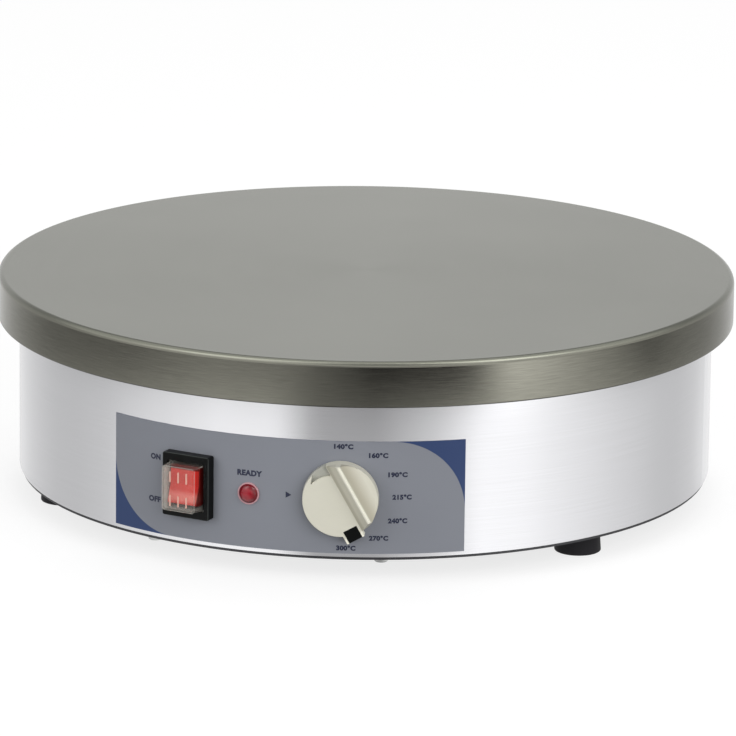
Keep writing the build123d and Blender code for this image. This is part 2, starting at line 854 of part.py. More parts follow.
def knob_ridge():
    """The ridge to grip: a steep flank in two slopes, and a scoop from the crest down to the rim."""
    rim = knob_face_radius - knob_draft
    rise = knob_crest_height - knob_face_height
    crest_end = (grip_crest_end, knob_crest_height)
    scoop_middle = (
        grip_crest_end + (rim - grip_crest_end) * scoop_run_share,
        knob_face_height + rise * scoop_rise_share,
    )
    flank = Polyline(
        (rim, knob_face_height),
        (rim, notch_floor),
        (grip_foot, notch_floor),
        (grip_foot, knob_face_height),
        (grip_shoulder, knob_face_height + rise / 2),
        (grip_crest_start, knob_crest_height),
        crest_end,
    )
    scoop = ThreePointArc(crest_end, scoop_middle, (rim, knob_face_height))
    section = make_face(Wire(flank.edges() + scoop.edges()))
    ridge = extrude(Plane.XZ * section, knob_radius, both=True)
    ridge = fillet(ridge.edges().filter_by(Axis.Y).group_by(Axis.Z)[-1], grip_crest_round)
    end_slope = Polygon(
        (-pointer_reach, knob_face_height),
        (-knob_face_radius - fit_clearance, knob_face_height),
        (-knob_face_radius + grip_end_slope, knob_crest_height + fit_clearance),
        (-pointer_reach, knob_crest_height + fit_clearance),
        align=None,
    )
    ridge -= extrude(Plane.YZ * end_slope, knob_radius, both=True)
    return ridge & disc(knob_face_radius, notch_floor, knob_crest_height)


def knob_notch():
    """The recess beside the ridge's far end."""
    beyond = knob_radius + join_depth
    at_grip = (grip_foot, notch_beside_grip)
    inner_edge = ThreePointArc(notch_corner, notch_middle, at_grip)
    sides = Polyline(at_grip, (grip_foot, beyond), (notch_mouth[0], beyond), notch_mouth, notch_corner)
    outline = make_face(Wire(inner_edge.edges() + sides.edges()))
    return Pos(0, 0, notch_floor) * extrude(outline, knob_face_height)


def pointer_bar(gap, end, top):
    """A bar let into the pointer tab, which runs out to its end and leaves a gap to the pocket's walls."""
    start = pointer_reach - inlay_length + gap
    width = pointer_width - 2 * (pointer_border + gap)
    bar = block(width, end - start, knob_face_height - inlay_depth, top)
    return Pos(pointer_middle, -(start + end) / 2, 0) * bar


def knob_pointer_inlay():
    bar = pointer_bar(running_clearance, pointer_reach, knob_face_height - running_clearance)
    return at_knob(Rot(0, 0, knob_turn) * bar)


# ---- Rocker switch -------------------------------------------------------------------------------


def at_switch(shape):
    return facing_out(switch_azimuth, control_height) * shape


def bezel_filling(bottom, top, gap):
    """What fills the bezel from behind, with a gap all round."""
    margin = 2 * (bezel_wall + gap)
    return block(bezel_width - margin, bezel_length - margin, bottom, top, window_corner_radius)


def switch_housing():
    body = block(housing_width, housing_length, -housing_depth, overlay_sheet, housing_corner_radius)
    body += bezel_filling(overlay_sheet, flange_top, fit_clearance)
    pocket_width = rocker_width + 2 * rocker_clearance
    pocket = block(
        pocket_width,
        rocker_length + 2 * pocket_end_gap,
        rocker_pivot_level - pocket_depth,
        flange_top,
        pocket_corner_radius,
    )
    bores = Pos(0, 0, rocker_pivot_level) * Rot(0, 90, 0) * Cylinder(
        rocker_pivot_radius + running_clearance, pocket_width + 2 * rocker_pivot_length
    )
    return at_switch(body - pocket - bores)


def switch_bezel():
    frame = block(bezel_width, bezel_length, overlay_sheet, bezel_stand, bezel_corner_radius)
    frame = fillet(frame.faces().sort_by(Axis.Z)[-1].edges(), bezel_edge_round)
    frame -= bezel_filling(overlay_sheet, cover_seat + running_clearance, 0)
    window = block(window_width, window_length, overlay_sheet, bezel_stand, window_corner_radius)
    return at_switch(frame - window)


def cover_skin(shrink):
    """The cover's raised form, inwards from its outside by shrink."""
    root = Plane.XY.offset(cover_seat - cover_flange * (shrink > 0)) * RectangleRounded(
        cover_front_width + 2 * cover_taper - 2 * shrink,
        cover_front_length + cover_taper - 2 * shrink,
        cover_corner_radius,
    )
    front = Plane.XY.offset(cover_front - shrink) * RectangleRounded(
        cover_front_width - 2 * shrink, cover_front_length - 2 * shrink, cover_corner_radius - shrink / 2
    )
    return loft([root, front])


def switch_splash_cover():
    cover = bezel_filling(flange_top, cover_seat, fit_clearance) + cover_skin(0)
    rib_front = cover_front + cover_rib_height
    rib = block(cover_rib_width, cover_rib_length, cover_front, rib_front, cover_rib_corner_radius)
    middle = (cover_front_length - cover_rib_length) / 2 - cover_rib_inset
    ribs = [Pos(x, side * middle, 0) * rib for x in cover_rib_spots for side in (-1, 1)]
    return at_switch(cover - cover_skin(cover_wall) + ribs)


def switch_rocker():
    """The rocker lies with its upper end pressed in, which is ON."""
    half = rocker_length / 2
    foot = rocker_foot_width / 2
    outline = Polygon(
        (-half, rocker_end_height),
        (-half, rocker_side_height),
        (-foot, -rocker_foot_depth),
        (foot, -rocker_foot_depth),
        (half, rocker_side_height),
        (half, rocker_end_height),
        (0, rocker_middle_height),
        align=None,
    )
    rocker = extrude(Plane.YZ * outline, rocker_width / 2, both=True)
    rocker = fillet(rocker.edges().filter_by(Axis.X).group_by(Axis.Z)[-1], rocker_edge_round)
    rocker += Rot(0, 90, 0) * Cylinder(
        rocker_pivot_radius, rocker_width + 2 * (rocker_clearance + rocker_pivot_length - fit_clearance)
    )
    return at_switch(Pos(0, 0, rocker_pivot_level) * Rot(-rocker_tilt, 0, 0) * rocker)


def blade(tip, root):
    return block(blade_width, blade_sheet, tip, root)


def switch_blades():
    tip = -housing_depth - blade_length
    return [at_switch(Pos(x, y, 0) * blade(tip, -housing_depth)) for x, y in switch_blade_spots]


def thermostat_blades():
    tip = body_back - blade_length
    return [at_knob(Pos(x, y, 0) * blade(tip, body_back)) for x, y in thermostat_blade_spots]


def limiter_blade_place(offset):
    """A blade's root on the limiter's side that faces the plate's axis."""
    root = standing(limiter_ring_radius - limiter_width / 2, limiter_azimuth, base_top + limiter_blade_level)
    return root * Pos(0, offset, 0)


def limiter_blades():
    lying = Rot(0, -90, 0) * blade(0, blade_length)
    return [limiter_blade_place(offset) * lying for offset in limiter_blade_spots]


# ---- Pilot lamp ----------------------------------------------------------------------------------


def at_lamp(shape):
    return facing_out(lamp_azimuth, lamp_height) * shape


def pilot_lamp_body():
    tube = disc(lamp_tube_radius, -lamp_tube_depth, overlay_sheet)
    tube += disc(lamp_bezel_radius, overlay_sheet, overlay_sheet + lamp_bezel_height)
    bore = lamp_tube_radius - lamp_tube_wall
    return at_lamp(tube - disc(bore, lamp_tube_floor - lamp_tube_depth, overlay_sheet + lamp_bezel_height))


def pilot_lamp_lens():
    seat = overlay_sheet + lamp_bezel_height
    ball = (lamp_dome_radius**2 + lamp_dome_height**2) / (2 * lamp_dome_height)
    dome = Pos(0, 0, seat + lamp_dome_height - ball) * Sphere(ball)
    dome &= disc(lamp_dome_radius, seat, seat + lamp_dome_height)
    stem = disc(lamp_tube_radius - lamp_tube_wall - running_clearance, seat - lamp_stem_length, seat)
    return at_lamp(dome + stem)


def pilot_lamp_bulb():
    bottom = lamp_tube_floor - lamp_tube_depth
    bulb = disc(lamp_bulb_radius, bottom, bottom + lamp_bulb_length)
    return at_lamp(fillet(bulb.edges().sort_by(Axis.Z)[-1], lamp_bulb_round))


def pilot_lamp_nut():
    top = -shell_wall - setback(lamp_nut_radius)
    return at_lamp(ring(lamp_nut_radius, lamp_tube_radius + thread_clearance, top - lamp_nut_height, top))


# ---- Safety limiter ------------------------------------------------------------------------------


def limiter_place():
    return Pos(polar(limiter_ring_radius, limiter_azimuth))


def limiter_body():
    """A box on the base plate, with a bush through it for the reset button."""
    body = block(limiter_width, limiter_width, base_top, base_top + limiter_height, limiter_corner_radius)
    body += disc(limiter_bush_radius, foot_height - limiter_bush_drop, base_top)
    body -= disc(button_radius + running_clearance, foot_height - limiter_bush_drop, base_top + button_inside)
    body -= disc(button_collar_radius + fit_clearance, base_top + button_inside, spring_top)
    return limiter_place() * Rot(0, 0, limiter_azimuth) * body


def reset_spring():
    """The spring between the button's collar and the top of its chamber."""
    radius = button_collar_radius - 3 * spring_wire_radius
    height = spring_length - 2 * spring_wire_radius
    coil = Helix(height / spring_coils, height, radius)
    wire = sweep(Plane(coil @ 0, z_dir=coil % 0) * Circle(spring_wire_radius), coil, is_frenet=True)
    return limiter_place() * Pos(0, 0, collar_top + spring_wire_radius) * wire


def limiter_nut():
    bottom = foot_height - limiter_nut_height
    lock = hexagon(limiter_nut_width, bottom, foot_height) - disc(
        limiter_bush_radius + thread_clearance, bottom, foot_height
    )
    return limiter_place() * lock


def reset_button():
    bottom = foot_height - limiter_bush_drop - button_pressed_reach - button_travel
    button = disc(button_radius, bottom, collar_bottom)
    button = fillet(button.edges().sort_by(Axis.Z)[0], button_edge_round)
    return limiter_place() * (button + disc(button_collar_radius, collar_bottom, collar_top))


# ---- Terminal block, earth stud and cord gland ---------------------------------------------------


def block_place():
    return standing(block_ring_radius, gland_azimuth)


def block_screw_places():
    half = (block_poles + 1) * block_pitch / 2 - block_pitch / 4
    return [block_place() * Pos(0, side * half, 0) for side in (-1, 1)]


def pole_offsets():
    return [(index - (block_poles - 1) / 2) * block_pitch for index in range(block_poles)]


def terminal_block():
    """An insulating block with one through hole and two screw wells for each pole."""
    length = (block_poles + 1) * block_pitch
    body = block(block_width, length, base_top, base_top + block_height, block_corner_radius)
    level = base_top + tunnel_level
    for offset in pole_offsets():
        body -= Pos(0, offset, level) * Rot(0, 90, 0) * Cylinder(tunnel_radius, block_width)
        for side in (-1, 1):
            body -= Pos(side * block_width / 4, offset, 0) * disc(
                m3 + screw_well_clearance, level, base_top + block_height
            )
    body = block_place() * body
    for place in block_screw_places():
        body -= place * disc(m3 + hole_clearance, base_top, base_top + block_height)
    return body


def terminal_sleeves():
    """Brass sleeves in the block's tunnels."""
    outer = tunnel_radius - running_clearance
    sleeve = Rot(0, 90, 0) * (
        Cylinder(outer, block_width - 2 * sleeve_inset) - Cylinder(outer - sleeve_wall, block_width)
    )
    sleeve -= [Pos(side * block_width / 4, 0, 0) * disc(m3 + thread_clearance, 0, outer) for side in (-1, 1)]
    level = base_top + tunnel_level
    return group(block_place() * Pos(0, offset, level) * sleeve for offset in pole_offsets())


def terminal_screws():
    top = base_top + block_height - terminal_screw_sink
    screw = disc(m3, base_top + tunnel_level + terminal_screw_start, top)
    screw -= block(2 * m3, screw_slot_width, top - screw_slot_depth, top)
    return group(
        block_place() * Pos(side * block_width / 4, offset, 0) * screw
        for offset in pole_offsets()
        for side in (-1, 1)
    )


def block_screws():
    length = block_height + base_sheet + thread_end
    screw = Pos(0, 0, base_top + block_height) * pan_screw(m3, length)
    return group(place * screw for place in block_screw_places())


def earth_place():
    return Pos(polar(earth_ring_radius, earth_azimuth))


def earth_stud():
    return earth_place() * disc(m5, foot_height, base_top + earth_stud_length)


def at_gland(shape):
    return facing_out(gland_azimuth, gland_height) * shape


def gland_body():
    body = disc(gland_thread_radius, -gland_inside, gland_hex_height + gland_thread_length)
    body += hexagon(gland_hex_width, 0, gland_hex_height)
    body -= disc(gland_seal_radius + thread_clearance, gland_hex_height, gland_hex_height + gland_nut_length)
    return at_gland(body - disc(gland_bore_radius, -gland_inside, gland_hex_height))


def gland_seal():
    """A rubber ring that grips the cord."""
    seal_end = gland_hex_height + gland_seal_length
    return at_gland(ring(gland_seal_radius, cord_radius, gland_hex_height, seal_end))


def gland_dome_nut():
    bottom = gland_hex_height + thread_clearance
    top = gland_hex_height + gland_nut_length
    thread_end_level = gland_hex_height + gland_thread_length + fit_clearance
    seal_end_level = gland_hex_height + gland_seal_length + fit_clearance
    dome = disc(gland_hex_width / 2 - fit_clearance, bottom, top)
    dome = fillet(dome.edges().sort_by(Axis.Z)[-1], gland_dome_round)
    dome -= disc(gland_thread_radius + thread_clearance, bottom, thread_end_level)
    dome -= disc(gland_seal_radius + thread_clearance, bottom, seal_end_level)
    return at_gland(dome - disc(gland_bore_radius, bottom, top))


def gland_locknut():
    top = -shell_wall - setback(gland_hex_width / sqrt(3))
    lock = hexagon(gland_hex_width, top - gland_locknut_height, top)
    return at_gland(lock - disc(gland_thread_radius + thread_clearance, top - gland_locknut_height, top))


# ---- Wiring --------------------------------------------------------------------------------------


def wire_run(start, start_way, end, end_way, lane):
    """A wire that leaves both ends straight, turns up or down to its own level and crosses the body there."""
    start_turn = start + start_way
    end_turn = end + end_way
    points = [start, start_turn, Vector(start_turn.X, start_turn.Y, lane)]
    points += [Vector(end_turn.X, end_turn.Y, lane), end_turn, end]
    kept = [start]
    for here, after in zip(points[1:-1], points[2:]):
        if (after - here).length > fit_clearance and (here - kept[-1]).get_angle(after - here) > 1:
            kept.append(here)
    return round_wire(kept + [end], wire_radius, wire_bend_radius)


def blade_tips(azimuth, spots, level):
    """Where a control's blades end, behind its place on the shell."""
    return [(facing_out(azimuth, control_height) * Pos(x, y, level)).position for x, y in spots]


def wiring():
    """Separate wires between the controls, the elements, the terminal block and the earth stud."""
    switch = blade_tips(switch_azimuth, switch_blade_spots, -housing_depth - blade_length)
    stat = blade_tips(knob_azimuth, thermostat_blade_spots, body_back - blade_length)
    lamp_back = facing_out(lamp_azimuth, lamp_height) * Pos(0, 0, -lamp_tube_depth)
    lamp = [(lamp_back * Pos(side * lamp_wire_pitch / 2, 0, 0)).position for side in (-1, 1)]
    limiter_way = polar(blade_length, limiter_azimuth)
    limiter = [limiter_blade_place(offset).position - limiter_way for offset in limiter_blade_spots]
    pins = [point + Vector(0, 0, leg_bottom - terminal_pin_length) for point in all_legs()]
    pole_level = base_top + tunnel_level
    poles = [(block_place() * Pos(0, offset, pole_level)).position for offset in pole_offsets()]
    inner_face = Vector(0, -block_width / 2, 0)
    from_switch = polar(-wire_lead_length, switch_azimuth)
    from_stat = polar(-wire_lead_length, knob_azimuth)
    from_lamp = polar(-wire_lead_length, lamp_azimuth)
    from_limiter = polar(-wire_lead_length, limiter_azimuth)
    inwards = Vector(0, -wire_lead_length, 0)
    limiter_level = base_top + limiter_blade_level
    above_block = base_top + block_height + 4 * wire_radius
    to_pin = Vector(0, 0, above_block - leg_bottom + terminal_pin_length)
    crossing = control_height - 3 * wire_radius
    switch_link = polar(-link_lead_length, switch_azimuth)
    stat_link = polar(-link_lead_length, knob_azimuth)
    runs = [
        wire_run(poles[1] + inner_face, inwards, switch[0], from_switch, pole_level),
        wire_run(poles[0] + inner_face, inwards, switch[1], from_switch, pole_level),
        wire_run(switch[2], switch_link, stat[3], stat_link, crossing),
        wire_run(lamp[1], from_lamp, stat[0], from_stat, stat[0].Z),
        wire_run(lamp[0], from_lamp, stat[1], from_stat, stat[1].Z),
        wire_run(stat[2], from_stat, limiter[1], from_limiter, limiter_level),
        wire_run(limiter[0], from_limiter, pins[0], to_pin, above_block),
        wire_run(pins[3], to_pin, switch[3], polar(-element_lead_length, switch_azimuth), above_block),
    ]
    pin_middle = Vector(0, 0, terminal_pin_length / 3)
    for outer, inner in ((pins[0], pins[2]), (pins[1], pins[3])):
        along = (inner - outer).normalized() * terminal_pin_radius
        runs.append(straight_wire(outer + pin_middle + along, inner + pin_middle - along))
    return group(runs + [earth_wire(poles[2] + Vector(0, block_width / 2, 0))])


def earth_wire(start):
    """From the terminal block's outer face across to the earth stud's nut."""
    stud = earth_place().position
    corner = Vector(start.X, stud.Y, start.Z)
    end = Vector(stud.X - nut_width[m5] / sqrt(3) - running_clearance, stud.Y, start.Z)
    return round_wire([start, corner, end], wire_radius, wire_bend_radius)


def straight_wire(start, end):
    return extrude(Plane(start, z_dir=end - start) * Circle(wire_radius), (end - start).length)


# ---- All nodes -----------------------------------------------------------------------------------

nodes = {
    "cooking_plate": cooking_plate(),
    "insulating_washers": insulating_washers(),
    "m6_studs": m6_studs(),
    "m6_washers": m6_washers(),
    "m6_nuts": m6_nuts(),
    "m5_washers": m5_washers(),
    "m5_nuts": m5_nuts(),
    "body_shell": body_shell(),
    "control_panel_overlay": control_panel_overlay(),
    "base_plate": base_plate(),
    "base_screws": base_screws(),
    "clinch_nuts": clinch_nuts(),
    "foot_screws": foot_screws(),
    "element_end_seals": element_end_seals(),
    "element_pins": element_pins(),
    "heat_shield_pan": heat_shield_pan(),
    "insulation_disc": insulation_disc(),
    "bulb_clips": bulb_clips(),
    "bulb_clip_screws": clip_screws(),
    "thermostat_capillary": thermostat_capillary(),
    "limiter_capillary": limiter_capillary(),
    "thermostat_bracket": thermostat_bracket(),
    "thermostat_body": thermostat_body(),
    "thermostat_screws": thermostat_screws(),
    "thermostat_spindle": thermostat_spindle(),
    "thermostat_knob": thermostat_knob(),
    "knob_pointer_inlay": knob_pointer_inlay(),
    "switch_housing": switch_housing(),
    "switch_bezel": switch_bezel(),
    "switch_splash_cover": switch_splash_cover(),
    "switch_rocker": switch_rocker(),
    "blade_terminals": group(switch_blades() + thermostat_blades() + limiter_blades()),
    "pilot_lamp_body": pilot_lamp_body(),
    "pilot_lamp_lens": pilot_lamp_lens(),
    "pilot_lamp_bulb": pilot_lamp_bulb(),
    "pilot_lamp_nut": pilot_lamp_nut(),
    "limiter_body": limiter_body(),
    "limiter_nut": limiter_nut(),
    "reset_button": reset_button(),
    "reset_spring": reset_spring(),
    "terminal_block": terminal_block(),
    "terminal_sleeves": terminal_sleeves(),
    "terminal_screws": terminal_screws(),
    "block_screws": block_screws(),
    "earth_stud": earth_stud(),
    "wiring": wiring(),
    "gland_body": gland_body(),
    "gland_seal": gland_seal(),
    "gland_dome_nut": gland_dome_nut(),
    "gland_locknut": gland_locknut(),
}
for name, azimuth in foot_azimuths.items():
    nodes[f"rubber_foot_{name}"] = rubber_foot(azimuth)
for name, radius in element_rings.items():
    nodes[f"heating_element_{name}"] = heating_element(radius)
for name, azimuth in clamp_azimuths.items():
    nodes[f"clamp_bar_{name}"] = clamp_bar(azimuth)
for name, azimuth in sensor_azimuths.items():
    nodes[f"{name}_bulb"] = sensor_bulb(azimuth)

os.makedirs("parts", exist_ok=True)
for name, shape in nodes.items():
    export_step(shape, f"parts/{name}.step")
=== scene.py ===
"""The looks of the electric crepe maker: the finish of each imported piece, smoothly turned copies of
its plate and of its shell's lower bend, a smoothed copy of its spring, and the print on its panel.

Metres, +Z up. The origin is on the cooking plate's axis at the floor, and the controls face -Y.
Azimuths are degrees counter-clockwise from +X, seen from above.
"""

import json
from math import atan2, cos, degrees, pi, radians, sin

import bpy
from mathutils import Matrix, Vector


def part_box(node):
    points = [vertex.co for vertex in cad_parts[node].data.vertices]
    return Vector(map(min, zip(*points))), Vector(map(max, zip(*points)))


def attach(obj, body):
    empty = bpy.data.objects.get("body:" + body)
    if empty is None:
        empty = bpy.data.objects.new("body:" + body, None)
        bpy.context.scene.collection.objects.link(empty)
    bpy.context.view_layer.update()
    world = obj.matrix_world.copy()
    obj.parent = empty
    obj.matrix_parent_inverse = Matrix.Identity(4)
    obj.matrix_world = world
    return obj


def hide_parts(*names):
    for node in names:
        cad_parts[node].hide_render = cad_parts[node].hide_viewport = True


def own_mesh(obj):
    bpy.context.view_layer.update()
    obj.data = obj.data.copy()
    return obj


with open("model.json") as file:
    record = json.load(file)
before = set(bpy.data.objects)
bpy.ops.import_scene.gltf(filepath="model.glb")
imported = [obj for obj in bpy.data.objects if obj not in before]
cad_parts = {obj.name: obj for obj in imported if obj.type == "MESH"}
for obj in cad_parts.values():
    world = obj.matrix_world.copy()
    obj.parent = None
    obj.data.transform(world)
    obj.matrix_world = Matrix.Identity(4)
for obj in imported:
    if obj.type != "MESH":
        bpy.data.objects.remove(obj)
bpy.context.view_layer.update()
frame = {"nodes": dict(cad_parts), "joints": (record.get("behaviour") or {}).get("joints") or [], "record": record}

mm = 0.001

# Places and sizes read from the frame
rim_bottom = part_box("cooking_plate")[0].z
plate_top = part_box("cooking_plate")[1].z
plate_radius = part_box("cooking_plate")[1].x
shell_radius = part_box("body_shell")[1].x
overlay_low, overlay_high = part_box("control_panel_overlay")
joints = {joint["name"]: joint for joint in frame["joints"]}
knob_axis = joints["knob_turn"]["axis"]
knob_height = joints["knob_turn"]["pos_m"][2]

# Camera: angles in degrees, and its lens and sensor in millimetres
camera_azimuth = -76.2
camera_elevation = 13.958
camera_distance = 3.696
camera_lens = 332.4
camera_sensor = 36.0
camera_sight = 100
aim_right = 0.0241
aim_down = 0.8327
camera_roll = 0.6892

# Table: grey, with a glow that makes it white round the shadow. Its near part ends at its edge,
# which is farther out on the camera's side by the lean, and has its levels at its middle.
table_size = 12
table_edge = 510 * mm
table_lean = 70 * mm
table_fade = 10 * mm
table_middle = 390 * mm
table_grey = 0.3
table_glow = 0.77

# Lamps: azimuth from the camera, elevation, distance, size and level. All face one height.
lamps = {
    "key_lamp": (30, 20, 2.2, 1.8, 0.51),
    "side_lamp": (-55, 18, 2.4, 1.7, 0.31),
    "top_lamp": (150, 70, 2.4, 1.8, 0.2),
}
lamp_aim = 60 * mm
fill_level = 0.5
backdrop_level = 1.0

# How bright the studio looks in the object, by azimuth from the camera: positive is to the right.
# The ceiling's levels go over it, from behind the object to the camera's side, and its sides scale
# them by azimuth. Each fade is between two sines of elevation.
brightest = 3.5
ceiling_fade = (0.3, 0.5)
ceiling_sides_fade = (0.55, 0.75)
room_levels = {
    -180: 1.0,
    -150: 0.85,
    -116: 0.65,
    -99: 0.7,
    -70: 0.9,
    -49: 1.0,
    -29: 0.95,
    -16: 0.48,
    4: 0.44,
    24: 0.72,
    39: 1.17,
    55: 1.15,
    71: 1.0,
    95: 0.85,
    120: 0.7,
    150: 0.82,
    180: 1.0,
}
far_table_levels = {
    -180: 1.0,
    -150: 1.0,
    -98: 0.33,
    -66: 0.29,
    -40: 0.52,
    -17: 0.41,
    2: 0.0,
    23: 0.0,
    29: 0.15,
    39: 1.8,
    62: 0.8,
    83: 0.22,
    100: 0.42,
    112: 0.45,
    150: 0.88,
    180: 1.0,
}
near_table_levels = {
    -180: 0.5,
    -165: 0.62,
    -150: 0.88,
    -135: 0.87,
    -116: 0.74,
    -99: 0.64,
    -87: 0.64,
    -74: 0.7,
    -52: 0.96,
    -37: 1.13,
    -22: 1.15,
    -12: 0.47,
    3: 0.475,
    18: 0.84,
    29: 1.26,
    41: 1.2,
    53: 1.04,
    71: 0.85,
    90: 0.69,
    100: 0.665,
    115: 0.73,
    135: 0.95,
    150: 0.95,
    165: 0.7,
    180: 0.5,
}
ceiling_levels = {0: 1.0, 16: 1.0, 26: 0.45, 40: 0.45, 56: 1.3, 110: 1.5, 150: 1.2, 180: 1.0}
ceiling_sides = {
    -180: 1.0,
    -88: 1.0,
    -70: 2.6,
    -58: 2.0,
    -47: 2.0,
    -36: 1.4,
    -26: 1.1,
    -12: 0.5,
    24: 0.5,
    36: 0.6,
    46: 2.0,
    56: 3.3,
    68: 3.0,
    81: 1.9,
    94: 1.0,
    180: 1.0,
}

# Switch: half the width and height of its frame and cover, and how far they stand off the shell
bezel_reach = (13.8 * mm, 17.05 * mm, 5.7 * mm)
cover_reach = (9.9 * mm, 12.1 * mm, 13.2 * mm)

# Knob: its grip's turn in degrees, how far its face and the grip's crest stand off the shell, and
# where the crest starts and ends beside the knob's middle
knob_turn = 29.4
knob_face = 6.3 * mm
knob_crest = 12.8 * mm
crest_start = 8.0 * mm
crest_end = 9.6 * mm

# Turned pieces, with the same sizes as their solids
turn_steps = 256
round_steps = 10
merge_distance = 0.001 * mm
smooth_angle = radians(30)
plate_edge_round = 3.2 * mm
rim_foot_round = 1.0 * mm
skirt_wall = 8.6 * mm
casting_round = 4.0 * mm
plate_thickness = 15.7 * mm
plate_underside = plate_top - plate_thickness
boss_radius = 8.0 * mm
boss_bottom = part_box("insulating_washers")[1].z
boss_round = 0.4 * mm
boss_sink = 0.1 * mm
boss_sides = 48
boss_round_steps = 3
# The washers are as wide as the bosses, and one of them is at the front
plate_stud_radius = -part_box("insulating_washers")[0].y - boss_radius
plate_stud_azimuths = [30, 150, 270]
shell_bend_radius = 1.6 * mm
lip_cover = 0.01 * mm
lip_sheet = 0.5 * mm
lip_rise = 1.5 * mm
seam_from_gland = 60 * mm

# Printed panel
overlay_sheet = 0.3 * mm
overlay_radius = shell_radius + overlay_sheet
print_blur = 0.1 * mm
ink_height = 0.03 * mm
corner_arc = 38.5 * mm
panel_half_width = 98.97 * mm
label_height = 2.9 * mm
label_width = 10.1 * mm
word_height = 3.2 * mm
boldness = 0.06
letter_spacing = 1.08
curve_steps = 4
arrow_length = 3.1 * mm
arrow_half_height = 1.7 * mm
# Places in millimetres, to the right of a control and above the knob's middle
temperature_labels = {
    "140°C": (1.2, 27.6),
    "160°C": (19.4, 23.0),
    "190°C": (29.6, 12.6),
    "215°C": (31.9, 0.5),
    "240°C": (29.7, -12.3),
    "270°C": (19.9, -21.7),
    "300°C": (2.9, -27.2),
}
arrow_place = (-27.5, 0.2)
# Words: the control that they belong to, their place and their width
panel_words = {
    "READY": ("pilot_lamp_lens", 0.5, 10.1, 13.8),
    "ON": ("switch_bezel", -22.0, 11.5, 6.4),
    "OFF": ("switch_bezel", -22.5, -11.6, 7.7),
}

# Sockets of a Mix node, which has one set for numbers and one for colours
mix_amount = 0
mix_first_number, mix_second_number = 2, 3
mix_first_colour, mix_second_colour = 6, 7
mixed_colour = 2


def display(red, green, blue):
    """A linear colour from the values, from 0 to 255, that a screen shows it with."""
    return tuple(((v / 255 + 0.055) / 1.055) ** 2.4 for v in (red, green, blue)) + (1.0,)


def shade(colour, amount):
    """A colour made darker: amount is the share of its light that is left."""
    return tuple(amount * c for c in colour[:3]) + (1.0,)


def towards(azimuth, elevation):
    """The direction of an azimuth and elevation, in degrees."""
    a, e = radians(azimuth), radians(elevation)
    return Vector((cos(a) * cos(e), sin(a) * cos(e), sin(e)))


def middle_of(node):
    """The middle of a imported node's box."""
    low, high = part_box(node)
    return (low + high) / 2


def outward_of(node):
    """The level direction from the plate's axis through the middle of a node."""
    middle = middle_of(node)
    return Vector((middle.x, middle.y, 0)).normalized()


def link(thing):
    bpy.context.scene.collection.objects.link(thing)
    return thing


# ---- Nodes ---------------------------------------------------------------------------------------


class Value:
    """What a node gives: a number, colour, place or shader. Sums with numbers add Math nodes."""

    def __init__(self, nodes, socket):
        self.nodes = nodes
        self.socket = socket

    def __add__(self, other):
        return self.nodes.maths("ADD", self, other)

    def __sub__(self, other):
        return self.nodes.maths("SUBTRACT", self, other)

    def __rsub__(self, other):
        return self.nodes.maths("SUBTRACT", other, self)

    def __mul__(self, other):
        return self.nodes.maths("MULTIPLY", self, other)

    def __truediv__(self, other):
        return self.nodes.maths("DIVIDE", self, other)

    __radd__ = __add__
    __rmul__ = __mul__


class Nodes:
    """The nodes of a material or of the world."""

    def __init__(self, tree):
        self.tree = tree

    def node(self, kind, settings=None, values=None, output=0):
        """A node with its settings and its sockets' values or links, as the Value of one output."""
        made = self.tree.nodes.new(kind)
        for name, value in (settings or {}).items():
            setattr(made, name, value)
        for socket, value in (values or {}).items():
            self.feed(made.inputs[socket], value)
        return Value(self, made.outputs[output])

    def feed(self, socket, value):
        if isinstance(value, Value):
            self.tree.links.new(value.socket, socket)
        else:
            socket.default_value = value

    def maths(self, operation, *values):
        return self.node("ShaderNodeMath", {"operation": operation}, dict(enumerate(values)))

    def mix(self, amount, first, second):
        """A colour between two colours."""
        values = {mix_amount: amount, mix_first_colour: first, mix_second_colour: second}
        return self.node("ShaderNodeMix", {"data_type": "RGBA"}, values, mixed_colour)

    def blend(self, amount, first, second):
        """A number between two numbers."""
        values = {mix_amount: amount, mix_first_number: first, mix_second_number: second}
        return self.node("ShaderNodeMix", values=values)

    def mix_shaders(self, amount, first, second):
        return self.node("ShaderNodeMixShader", values={0: amount, 1: first, 2: second})

    def ease(self, value, low, high):
        """0 where value is at or below low, 1 where it is at or above high, and smooth between."""
        values = {"Value": value, "From Min": low, "From Max": high}
        return self.node("ShaderNodeMapRange", {"interpolation_type": "SMOOTHSTEP"}, values)

    def noise(self, size, vector, detail):
        """Noise from 0 to 1 with features about size metres across."""
        values = {"Vector": vector, "Scale": 1 / size, "Detail": detail}
        return self.node("ShaderNodeTexNoise", values=values)

    def axes(self, vector):
        kind = "ShaderNodeSeparateXYZ"
        return [self.node(kind, values={"Vector": vector}, output=axis) for axis in "XYZ"]

    def length(self, x, y):
        return self.maths("SQRT", x * x + y * y)

    def level(self, degrees_round, levels):
        """A brightness read from levels, which gives it at some angles in degrees."""
        low, high = min(levels), max(levels)
        values = {"Value": degrees_round, "From Min": low, "From Max": high}
        place = self.node("ShaderNodeMapRange", values=values)
        ramp = self.tree.nodes.new("ShaderNodeValToRGB")
        stops = ramp.color_ramp.elements
        for angle in sorted(levels)[1:-1]:
            stops.new((angle - low) / (high - low))
        for stop, angle in zip(stops, sorted(levels)):
            stop.color = (levels[angle] / brightest,) * 3 + (1.0,)
        self.feed(ramp.inputs["Fac"], place)
        return Value(self, ramp.outputs["Color"]) * brightest


